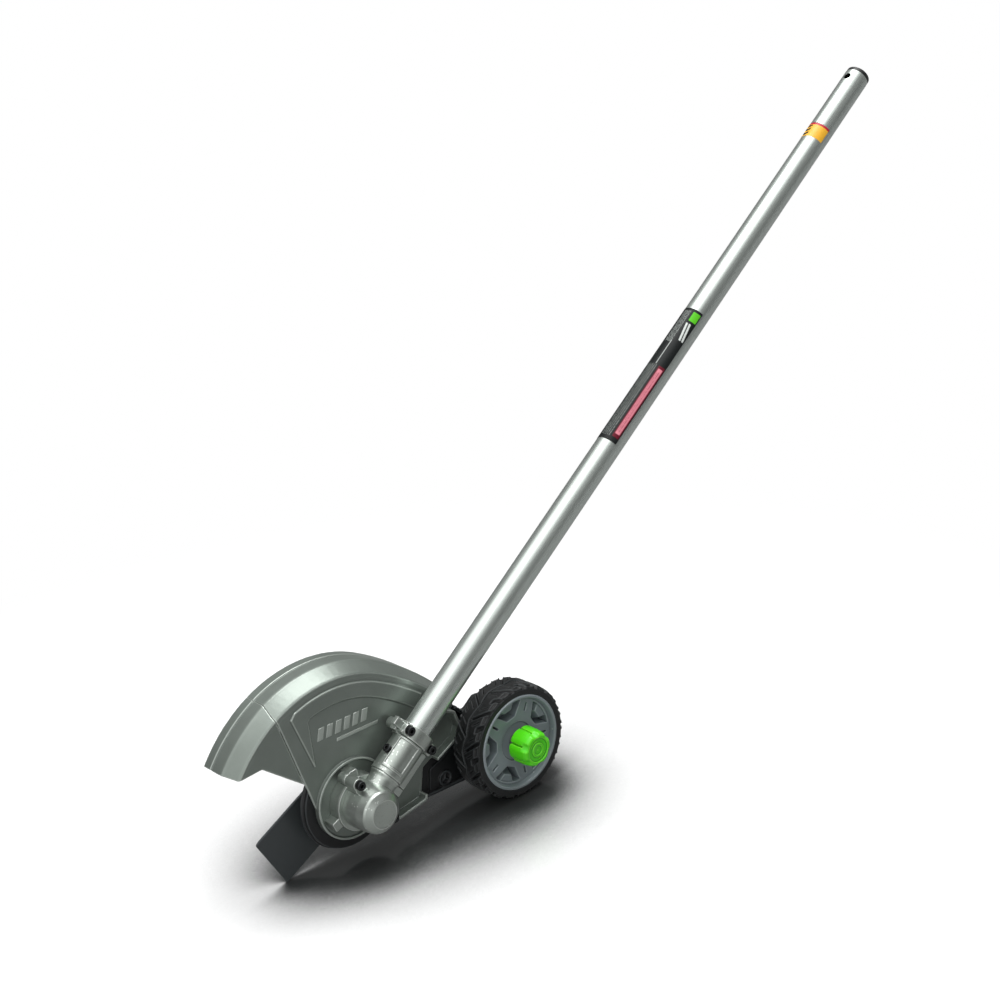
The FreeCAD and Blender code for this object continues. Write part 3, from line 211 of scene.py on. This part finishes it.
def surface(name, base, metallic, roughness, grain, depth, wear_and_highlight=None):
    """A general finish: colour drift, fine grain in colour, roughness and bump; given an edge colour, outside
    edges are painted lighter, partly as wear and partly as a painted highlight, and inside corners get painted
    shade.
    """
    material, g, shader = new_material(name)
    drift = g.noise(DRIFT_SIZE, 3.0)
    fine = g.noise(grain, 4.0, rough=0.6)
    dark = tuple(value * (1 - COLOUR_SPREAD) for value in base[:3]) + (1.0,)
    light = tuple(min(1.0, value * (1 + COLOUR_SPREAD)) for value in base[:3]) + (1.0,)
    tone = g.mix(g.ramp(drift, 0.3, 0.7), dark, light)
    tone = g.mix(g.math("MULTIPLY", g.ramp(fine, 0.35, 0.65), 0.35), tone, light)
    if wear_and_highlight is not None:
        # Outside edges lighter: partly wear, partly a painted highlight.
        tone = g.mix(g.math("MULTIPLY", g.edges(), 0.6), tone, wear_and_highlight)
        # Inside corners darkened towards a quarter of the base colour: painted shade.
        painted_hollow_shade = tuple(value * 0.25 for value in base[:3]) + (1.0,)
        tone = g.mix(g.math("MULTIPLY", g.hollows(), 0.8), tone, painted_hollow_shade)
    g.feed(shader.inputs["Base Color"], tone)
    g.feed(shader.inputs["Metallic"], metallic)
    low, high = roughness - ROUGHNESS_SPREAD, roughness + ROUGHNESS_SPREAD
    g.feed(shader.inputs["Roughness"], g.ramp(fine, 0.2, 0.8, low, high))
    g.feed(shader.inputs["Normal"], g.bump(fine, depth))
    return material


TUBE_BORE = (11.9 * MM, 12.3 * MM)      # the radii between which the painted shade of the tube's inside turns into the outside


def tube_material():
    """Satin anodised aluminium with fine lines along the tube, and painted shade inside its bore."""
    material, g, shader = new_material("tube_aluminium")
    lines = g.noise(0.35 * MM, 3.0, g.stretched(ALONG, 0.012))
    broad = g.noise(3.0 * MM, 2.0, g.stretched(ALONG, 0.02))
    speck = g.noise(0.25 * MM, 2.0)
    tone = g.mix(broad, colour(192, 200, 195), colour(210, 217, 212))
    place = g.place()
    along = g.vector("DOT_PRODUCT", place, tuple(ALONG))
    radial = g.vector("SUBTRACT", place, g.scaled(tuple(ALONG), along))
    # The tube's inside is painted near black: painted shade in the bore.
    painted_bore_shade = g.ramp(g.vector("LENGTH", radial, (0, 0, 0)), *TUBE_BORE, 1.0, 0.0)
    tone = g.mix(painted_bore_shade, tone, colour(22, 24, 24))
    g.feed(shader.inputs["Base Color"], tone)
    g.feed(shader.inputs["Metallic"], 0.85)
    rough = g.ramp(lines, 0.25, 0.75, 0.24, 0.36)
    g.feed(shader.inputs["Roughness"], g.math("ADD", rough, g.ramp(speck, 0.5, 0.9, 0.0, 0.08)))
    g.feed(shader.inputs["Normal"], g.bump(lines, 0.012 * MM))
    return material


# ---------------------------------------------------------------- printed labels on the shaft
# Each patch is millimetres down from the shaft's upper end, then degrees round it from the knob's side.
CAUTION_BORDER = ((407, 495), (24, 55))
CAUTION_STRIP = ((410, 491), (29, 50))
CAUTION_MARKS = ((414, 488), (32, 47))
GREEN_BLOCK = ((338, 349), (25, 60))
UPPER_MARKS = ((338, 378), (70, 108))
LOWER_MARKS = ((407, 496), (62, 112))
THIN_LINE = ((376, 406), (72, 75))
BARS_SPAN = (352, 373)
BARS_START = (286.0, 300.0)             # degrees, where the lean is counted in
BARS_WIDTH = 9.0
BARS_LEAN = 0.7                         # degrees per millimetre
CHEVRONS = ((81.5, 96), (92, 134))
CHEVRON_MIDDLE = 110.0
CHEVRON_BEND = 0.12                     # millimetres per degree
CHEVRON_PITCH = 5.4
PATCH_SOFT = 0.35                       # millimetres over which a patch's edge fades, a quarter of the degrees


def label_place(g):
    """Where a point of a shaft label lies: mm down from the shaft's upper end, and degrees round it."""
    place = g.place()
    down = g.math("MULTIPLY", g.vector("DOT_PRODUCT", place, tuple(ALONG)), -1.0 / MM)
    across = g.vector("DOT_PRODUCT", place, tuple(ACROSS))
    side = g.vector("DOT_PRODUCT", place, tuple(SIDE))
    turn = g.math("DEGREES", g.math("ARCTAN2", across, side))
    return down, turn


def patch(g, down, turn, span, arc):
    """1 inside a rectangle of a label."""
    return g.math("MULTIPLY", g.inside(down, *span, PATCH_SOFT), g.inside(turn, *arc, PATCH_SOFT * 4))


def dashes(g, down, turn, span, arc, pitch):
    """Rows of short marks along the shaft, broken up unevenly."""
    row = g.math("DIVIDE", turn, pitch)
    line = g.inside(g.math("FRACT", row), 0.3, 0.64, 0.08)
    broken = g.noise(1.0, 1.0, g.combine(g.math("DIVIDE", down, 1.3), g.math("FLOOR", row), 0.0))
    mark = g.math("MULTIPLY", line, g.ramp(broken, 0.42, 0.48))
    return g.math("MULTIPLY", mark, patch(g, down, turn, span, arc))


def shaft_label_material():
    """The black label: a red caution strip, a green block, two plain bars and rows of small marks."""
    material, g, shader = new_material("shaft_label_print")
    down, turn = label_place(g)
    fine = g.noise(0.5 * MM, 3.0)
    tone = g.mix(fine, colour(19, 22, 22), colour(30, 34, 34))
    tone = g.mix(patch(g, down, turn, *CAUTION_BORDER), tone, colour(104, 20, 38))
    tone = g.mix(patch(g, down, turn, *CAUTION_STRIP), tone, colour(228, 138, 152))
    tone = g.mix(dashes(g, down, turn, *CAUTION_MARKS, 7.0), tone, colour(120, 36, 54))
    tone = g.mix(patch(g, down, turn, *GREEN_BLOCK), tone, colour(92, 200, 36))
    lean = g.math("ADD", turn, g.math("MULTIPLY", down, BARS_LEAN))
    for low in BARS_START:
        width = g.inside(lean, low, low + BARS_WIDTH, 1.2)
        bar = g.math("MULTIPLY", g.inside(down, *BARS_SPAN, 0.4), width)
        tone = g.mix(bar, tone, colour(214, 220, 216))
    tone = g.mix(dashes(g, down, turn, *UPPER_MARKS, 6.0), tone, colour(170, 176, 172))
    tone = g.mix(dashes(g, down, turn, *LOWER_MARKS, 9.0), tone, colour(138, 144, 140))
    tone = g.mix(patch(g, down, turn, *THIN_LINE), tone, colour(190, 196, 192))
    g.feed(shader.inputs["Base Color"], tone)
    g.feed(shader.inputs["Roughness"], g.ramp(fine, 0.2, 0.8, 0.36, 0.46))
    g.feed(shader.inputs["Specular IOR Level"], 0.22)
    g.feed(shader.inputs["Normal"], g.bump(fine, 0.008 * MM))
    return material


def insertion_label_material():
    """The orange band above the coupler's end, with a row of black chevrons."""
    material, g, shader = new_material("insertion_label_print")
    down, turn = label_place(g)
    fine = g.noise(0.6 * MM, 3.0)
    tone = g.mix(fine, colour(244, 178, 36), colour(252, 194, 62))
    off_middle = g.math("ABSOLUTE", g.math("SUBTRACT", turn, CHEVRON_MIDDLE))
    bend = g.math("MULTIPLY", off_middle, CHEVRON_BEND)
    step = g.math("FRACT", g.math("DIVIDE", g.math("ADD", down, bend), CHEVRON_PITCH))
    chevron = g.math("MULTIPLY", g.inside(step, 0.2, 0.78, 0.06), patch(g, down, turn, *CHEVRONS))
    g.feed(shader.inputs["Base Color"], g.mix(chevron, tone, colour(30, 28, 24)))
    g.feed(shader.inputs["Roughness"], g.ramp(fine, 0.2, 0.8, 0.3, 0.4))
    g.feed(shader.inputs["Normal"], g.bump(fine, 0.008 * MM))
    return material


# ---------------------------------------------------------------- finishes, by the record's slots
# The edge colours below light the outside edges, partly as wear and partly as a painted highlight; with them the
# hollows get painted shade.
MATERIALS = {
    "tube": tube_material(),
    "label_black": shaft_label_material(),
    "label_yellow": insertion_label_material(),
    "label_red": surface("label_red", colour(196, 26, 52), 0.0, 0.35, 0.8 * MM, 0.01 * MM),
    "shaft_steel": surface("shaft_steel", colour(170, 172, 174), 1.0, 0.28, 0.4 * MM, 0.01 * MM),
    "bush_plastic": surface("bush_plastic", colour(226, 224, 214), 0.0, 0.42, 0.5 * MM, 0.02 * MM),
    "cap_plastic": surface("cap_plastic", colour(26, 28, 28), 0.0, 0.42, 0.35 * MM, 0.03 * MM),
    "housing": surface("cast_aluminium", colour(172, 179, 173), 0.88, 0.33, 0.5 * MM, 0.025 * MM,
                       wear_and_highlight=colour(240, 245, 240)),
    "black_steel": surface("black_steel", colour(24, 25, 26), 0.6, 0.34, 0.3 * MM, 0.015 * MM,
                           wear_and_highlight=colour(90, 94, 96)),
    "seal_rubber": surface("seal_rubber", colour(28, 28, 28), 0.0, 0.6, 0.4 * MM, 0.02 * MM),
    "spring_steel": surface("spring_steel", colour(120, 120, 124), 1.0, 0.35, 0.4 * MM, 0.01 * MM),
    "bearing_steel": surface("bearing_steel", colour(205, 208, 212), 1.0, 0.16, 0.6 * MM, 0.003 * MM),
    "gear_steel": surface("gear_steel", colour(140, 140, 144), 1.0, 0.3, 0.4 * MM, 0.01 * MM),
    "guard": surface("guard_paint", colour(128, 136, 130), 0.55, 0.34, 0.45 * MM, 0.05 * MM,
                     wear_and_highlight=colour(206, 214, 207)),
    "black_plastic": surface("black_plastic", colour(22, 24, 25), 0.0, 0.42, 0.45 * MM, 0.04 * MM,
                             wear_and_highlight=colour(70, 76, 78)),
    "blade_steel": surface("blade_paint", colour(11, 13, 14), 0.2, 0.4, 0.5 * MM, 0.02 * MM,
                           wear_and_highlight=colour(90, 96, 98)),
    "plated_steel": surface("plated_steel", colour(176, 176, 170), 1.0, 0.3, 0.5 * MM, 0.012 * MM),
    "rim": surface("rim_plastic", colour(124, 134, 138), 0.0, 0.4, 0.4 * MM, 0.03 * MM,
                   wear_and_highlight=colour(172, 182, 184)),
    "tyre": surface("tyre_rubber", colour(15, 17, 18), 0.0, 0.52, 0.5 * MM, 0.05 * MM,
                    wear_and_highlight=colour(56, 62, 63)),
    "knob": surface("knob_plastic", colour(78, 214, 4), 0.0, 0.4, 0.5 * MM, 0.02 * MM,
                    wear_and_highlight=colour(136, 234, 60)),
    "brass": surface("brass", colour(214, 178, 96), 1.0, 0.28, 0.4 * MM, 0.01 * MM),
}


def dress_nodes():
    """Give every CAD node the material of its slot in the record."""
    slots = {part["node"]: part["material_slot"] for part in frame["record"]["subparts"]}
    for name, node in NODES.items():
        node.data.materials.clear()
        node.data.materials.append(MATERIALS[slots[name]])


# ---------------------------------------------------------------- softened edges of the CAD nodes
SOFTENED = {
    # node: voxel in mm, smoothing passes
    "gear_housing": (0.4, 4),
    "housing_base": (0.4, 4),
    "clamp_cap": (0.4, 4),
    "blade_guard": (0.6, 2),
    "front_flap": (0.6, 2),
    "wheel_bracket": (0.6, 2),
    "wheel_rim": (0.5, 4),
    "end_cap": (0.25, 3),
    "debris_shield": (0.5, 3),
    "clamp_screws": (0.2, 3),
    "locating_screw": (0.2, 3),
    "housing_screws": (0.2, 3),
    "blade_nut": (0.3, 3),
    "axle_bolt": (0.3, 3),
}


def soften(node, voxel, passes):
    """Round a CAD node's edges a little, as casting and moulding do."""
    remesh = node.modifiers.new("even", "REMESH")
    remesh.mode = "VOXEL"
    remesh.voxel_size = voxel * MM
    remesh.use_smooth_shade = True
    smooth = node.modifiers.new("soften", "SMOOTH")
    smooth.factor = 0.5
    smooth.iterations = passes


# ---------------------------------------------------------------- turned pieces
def between(value, low, high):
    """0 below low, 1 above high, smooth between."""
    share = min(1.0, max(0.0, (value - low) / (high - low)))
    return share * share * (3 - 2 * share)


def wrapped(value, pitch):
    """The signed distance to the nearest multiple of pitch."""
    return (value + pitch / 2) % pitch - pitch / 2


def resampled(profile, spacing):
    """The profile's points with more points between them."""
    points = []
    for (r0, y0), (r1, y1) in zip(profile, profile[1:]):
        count = max(1, math.ceil(math.hypot(r1 - r0, y1 - y0) / spacing))
        for index in range(count):
            share = index / count
            points.append((r0 + (r1 - r0) * share, y0 + (y1 - y0) * share))
    return points + [profile[-1]]


def lathe(name, centre, profile, steps, shape, closed):
    """A mesh turned about a Y axis from (radius, y) in mm, y from the guard; shape moves each point."""
    verts = []
    faces = []
    count = len(profile)
    for step in range(steps):
        turn = 2 * math.pi * step / steps
        for radius, y in profile:
            radius, y = shape(radius, y, turn)
            verts.append((centre.x + radius * MM * math.cos(turn), HEAD.y + y * MM,
                          centre.z + radius * MM * math.sin(turn)))
    spans = count if closed else count - 1
    for step in range(steps):
        here = step * count
        there = (step + 1) % steps * count
        for index in range(spans):
            after = (index + 1) % count
            faces.append((here + index, here + after, there + after, there + index))
    mesh = bpy.data.meshes.new(name)
    mesh.from_pydata(verts, [], faces)
    made = bmesh.new()
    made.from_mesh(mesh)
    bmesh.ops.recalc_face_normals(made, faces=made.faces)
    made.to_mesh(mesh)
    made.free()
    mesh.shade_smooth()
    piece = bpy.data.objects.new(name, mesh)
    bpy.context.scene.collection.objects.link(piece)
    return piece


TREAD_MIDDLE = 27.3
TREAD_HALF = 16.6
TREAD_FLOOR_R = 51.9
TREAD_R = 54.0              # turns an angle round the tread into millimetres
TREAD_VEES = 11
TREAD_STEPS = 676


def tread(radius, y, turn):
    """The tyre's blocks: chevron grooves, notched shoulders, a zigzag middle groove and short sipes."""
    if radius <= TREAD_FLOOR_R:
        return radius, y
    share = (y - TREAD_MIDDLE) / TREAD_HALF
    out = abs(share)
    pitch = 2 * math.pi / TREAD_VEES
    offset = pitch / 2 if share < 0 else 0.0
    lean = turn - offset - 0.42 * pitch * out
    vee = 1 - between(abs(wrapped(lean, pitch)) * TREAD_R, 0.9 + 0.8 * out, 1.6 + 1.2 * out)
    notch = 1 - between(abs(wrapped(lean - pitch / 2, pitch)) * TREAD_R, 2.2, 3.4)
    notch *= between(out, 0.56, 0.66)
    zigzag = abs(wrapped(turn, pitch)) / pitch * 4 - 1
    middle = 0.8 * (1 - between(abs(y - TREAD_MIDDLE - 1.6 * zigzag), 0.5, 1.1))
    sipe = 0.45 * (1 - between(abs(wrapped(lean - pitch / 4, pitch / 2)) * TREAD_R, 0.25, 0.6))
    sipe *= between(out, 0.2, 0.3) * (1 - between(out, 0.6, 0.7))
    step = 0.5 * between(out, 0.8, 0.86) * between(math.sin((lean - pitch / 8) * TREAD_VEES * 2), -0.2, 0.2)
    cut = max(vee, notch, middle, sipe, step)
    return radius - cut * (radius - TREAD_FLOOR_R), y


def make_tyre():
    side = [(46.42, 44.0), (47.4, 44.4), (50.4, 44.6), (51.7, 44.4), (52.3, 44.0), (54.2, 43.6), (54.9, 42.4),
            (55.3, 38.0), (55.38, 30.0)]
    mirror = [(radius, 2 * TREAD_MIDDLE - y) for radius, y in reversed(side)]
    profile = resampled(side + mirror, 0.55) + [(46.42, TREAD_MIDDLE)]
    piece = lathe("tyre_tread", WHEEL, profile, TREAD_STEPS, tread, True)
    piece.data.materials.append(MATERIALS["tyre"])
    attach(piece, "depth_wheel")
    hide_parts("tyre")


KNOB_LOBES = 6
KNOB_REST = math.radians(11)      # how far its first lobe stands below +X
KNOB_STEPS = 360


def grip(radius, y, turn):
    """The knob's lobes, the slots between them, the notched shoulder and two raised arcs on its face."""
    if radius > 13.5:
        gap = math.pi / KNOB_LOBES
        share = abs(wrapped(turn + KNOB_REST, 2 * gap)) / gap
        slot_side = radius * gap * (1 - share)
        radius -= 0.8 * between(share, 0.4, 1.0)
        radius -= 2.2 * (1 - between(slot_side, 0.7, 1.1)) * (1 - between(y, 62.0, 63.0))
        radius -= 1.2 * between(share, 0.45, 0.8) * between(y, 61.5, 66.0)
    elif 7.9 < radius < 10.4 and y > 67:
        arc = abs(wrapped(turn - 0.9, math.pi))
        ring = between(radius, 8.1, 8.5) * (1 - between(radius, 9.8, 10.2))
        y += 0.6 * (1 - between(arc, 0.5, 0.56)) * ring
    return radius, y


def make_knob():
    inside = [(0.01, 62.2), (4.5, 62.2), (4.5, 61.2), (6.6, 61.2), (6.6, 47.1), (8.8, 47.1), (8.8, 61.0),
              (13.4, 61.0), (13.4, 47.1), (14.2, 47.05)]
    outside = [(16.9, 47.1), (17.5, 47.8), (17.4, 58.0), (17.0, 62.0), (16.4, 65.6), (15.3, 67.9),
               (14.3, 68.7), (13.2, 68.95)]
    face = [(11.7, 68.95), (11.2, 67.8), (7.3, 67.8), (6.8, 68.8), (4.7, 68.8), (4.2, 68.0), (0.01, 67.9)]
    profile = resampled(inside + outside + face, 0.6)
    piece = lathe("knob_grip", KNOB, profile, KNOB_STEPS, grip, False)
    piece.data.materials.append(MATERIALS["knob"])
    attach(piece, "knob")
    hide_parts("depth_knob")


# ---------------------------------------------------------------- raised mark on the guard
MARK_START = Vector((36.0, -1.9, 62.5))     # its lower left corner from the head, in mm
MARK_RISE = math.radians(6.8)
MARK_BARS = 6
MARK_PITCH = 9.5
MARK_SHORT = (6.6, 0.0, 12.0, 3.4)          # width, lower and upper level and slant of a short bar, in mm
MARK_LONG = (46.0, -7.4, -4.2, 0.9)
MARK_LONG_LEFT = 20.0
MARK_HEIGHT = 0.85
MARK_TAPER = 0.7
MARK_BEVEL = 0.3


def make_badge():
    """A plain raised mark on the guard: a row of slanted bars above one long bar."""
    made = bmesh.new()
    right = Vector((-math.cos(MARK_RISE), 0, math.sin(MARK_RISE)))     # to the right on the outer side
    up = Vector((math.sin(MARK_RISE), 0, math.cos(MARK_RISE)))
    start = HEAD + MARK_START * MM
    bars = [(MARK_PITCH * index, *MARK_SHORT) for index in range(MARK_BARS)]
    bars.append((MARK_LONG_LEFT, *MARK_LONG))
    for left, width, low, high, slant in bars:
        corners = []
        for across, level in ((0, low), (width, low), (width, high), (0, high)):
            lean = slant * (level - low) / (high - low)
            corners.append(start + (right * (left + across + lean) + up * level) * MM)
        base = [made.verts.new(point) for point in corners]
        face = made.faces.new(base)
        lifted = bmesh.ops.extrude_face_region(made, geom=[face])["geom"]
        top = [item for item in lifted if isinstance(item, bmesh.types.BMVert)]
        centre = sum((vert.co for vert in top), Vector()) / 4
        for vert in top:
            inward = (centre - vert.co).normalized()
            vert.co += SIDE * (MARK_HEIGHT * MM) + inward * (MARK_TAPER * MM)
    bmesh.ops.recalc_face_normals(made, faces=made.faces)
    bmesh.ops.bevel(made, geom=made.edges[:], offset=MARK_BEVEL * MM, segments=2, profile=0.5,
                    affect="EDGES")
    mesh = bpy.data.meshes.new("guard_mark")
    made.to_mesh(mesh)
    made.free()
    mesh.shade_smooth()
    piece = bpy.data.objects.new("guard_mark", mesh)
    bpy.context.scene.collection.objects.link(piece)
    mesh.materials.append(MATERIALS["guard"])
    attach(piece, "root")


# ---------------------------------------------------------------- stage
def make_camera():
    data = bpy.data.cameras.new("camera")
    data.lens = LENS
    camera = bpy.data.objects.new("camera", data)
    bpy.context.scene.collection.objects.link(camera)
    level = math.cos(VIEW_DROP)
    forward = Vector((-math.sin(VIEW_TURN) * level, -math.cos(VIEW_TURN) * level, -math.sin(VIEW_DROP)))
    camera.location = VIEW_TARGET - forward * VIEW_DISTANCE
    camera.rotation_mode = "QUATERNION"
    camera.rotation_quaternion = forward.to_track_quat("-Z", "Y")
    bpy.context.scene.camera = camera


def floor_slope(wheel_r):
    """The slope of the floor that touches the wheel and the blade's lowest corner."""
    blade_node = NODES["blade"]
    slopes = []
    for vert in blade_node.data.vertices:
        point = blade_node.matrix_world @ vert.co
        back = point.x - WHEEL.x
        up = WHEEL.z - point.z
        reach = math.hypot(back, up)
        slopes.append(math.atan2(up, back) - math.asin(min(1.0, wheel_r / reach)))
    return max(slopes)


def make_floor():
    """A pale floor that slopes so that the wheel and the blade both stand on it. A contact shadow is painted into
    its colour, and it shows the machine a dimmer grey as painted shade.
    """
    tyre_low, tyre_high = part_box("tyre")
    wheel_r = (tyre_high.z - tyre_low.z) / 2
    slope = floor_slope(wheel_r)
    normal = Vector((math.sin(slope), 0, math.cos(slope)))
    mesh = bpy.data.meshes.new("floor")
    made = bmesh.new()
    bmesh.ops.create_grid(made, x_segments=2, y_segments=2, size=FLOOR_SIZE)
    made.to_mesh(mesh)
    made.free()
    floor = bpy.data.objects.new("floor", mesh)
    floor.location = WHEEL - normal * wheel_r
    floor.rotation_mode = "QUATERNION"
    floor.rotation_quaternion = normal.to_track_quat("Z", "Y")
    bpy.context.scene.collection.objects.link(floor)
    material, g, shader = new_material("floor")
    seen = g.node("ShaderNodeLightPath").outputs["Is Camera Ray"]
    pale = g.mix(g.noise(0.2, 2.0), (0.9, 0.905, 0.905, 1), (0.93, 0.93, 0.93, 1))
    # Painted shadow: the floor's colour darkens to near black where little of the room is open above it.
    shade = g.node("ShaderNodeAmbientOcclusion", samples=24)
    g.feed(shade.inputs["Distance"], POOL_REACH)
    painted_pool = g.ramp(shade.outputs["AO"], *POOL_RANGE, 0.02, 1.0)
    pale = g.mix(painted_pool, (0.02, 0.022, 0.022, 1), pale)
    # Painted shade: the machine's rays see the floor as a dimmer grey than the camera does.
    bounce = (FLOOR_BOUNCE, FLOOR_BOUNCE, FLOOR_BOUNCE, 1)
    g.feed(shader.inputs["Base Color"], g.mix(seen, bounce, pale))
    g.feed(shader.inputs["Roughness"], 0.15)
    spot = g.node("ShaderNodeNewGeometry").outputs["Position"]
    away = g.vector("LENGTH", g.vector("SUBTRACT", spot, tuple(HEAD)), (0, 0, 0))
    far = g.math("MULTIPLY", g.ramp(away, *FLOOR_FADE), seen)
    glow = g.node("ShaderNodeEmission")
    g.feed(glow.inputs["Color"], WHITE)
    blend = g.node("ShaderNodeMixShader")
    g.feed(blend.inputs[0], far)
    g.feed(blend.inputs[1], shader.outputs[0])
    g.feed(blend.inputs[2], glow.outputs[0])
    output = material.node_tree.nodes["Material Output"]
    g.feed(output.inputs["Surface"], blend.outputs[0])
    mesh.materials.append(material)


def make_light():
    """A dim room with a soft panel overhead, another ahead on the knob's side, and a broad sun as the key."""
    scene = bpy.context.scene
    scene.view_settings.view_transform = "Standard"
    world = bpy.data.worlds.new("studio")
    world.use_nodes = True
    scene.world = world
    g = Graph(world.node_tree)
    background = world.node_tree.nodes["Background"]
    direction = g.node("ShaderNodeTexCoord").outputs["Generated"]
    height = g.vector("DOT_PRODUCT", direction, (0, 0, 1))
    level = g.ramp(height, -0.2, 0.9, *SKY)
    for aim, edges, strength in PANELS:
        near = g.vector("DOT_PRODUCT", direction, tuple(Vector(aim).normalized()))
        level = g.math("ADD", level, g.ramp(near, *edges, 0.0, strength))
    seen = g.node("ShaderNodeLightPath").outputs["Is Camera Ray"]
    tint = g.mix(seen, g.combine(level, level, level), WHITE)
    g.feed(background.inputs["Color"], tint)
    sun = bpy.data.lights.new("key", "SUN")
    sun.energy = SUN_STRENGTH
    sun.angle = SUN_ANGLE
    lamp = bpy.data.objects.new("key", sun)
    lamp.rotation_mode = "QUATERNION"
    lamp.rotation_quaternion = Vector(SUN_FROM).to_track_quat("Z", "Y")
    scene.collection.objects.link(lamp)


# ---------------------------------------------------------------- build
dress_nodes()
for node_name, (voxel_size, smooth_passes) in SOFTENED.items():
    soften(NODES[node_name], voxel_size, smooth_passes)
make_tyre()
make_knob()
make_badge()
make_camera()
make_floor()
make_light()
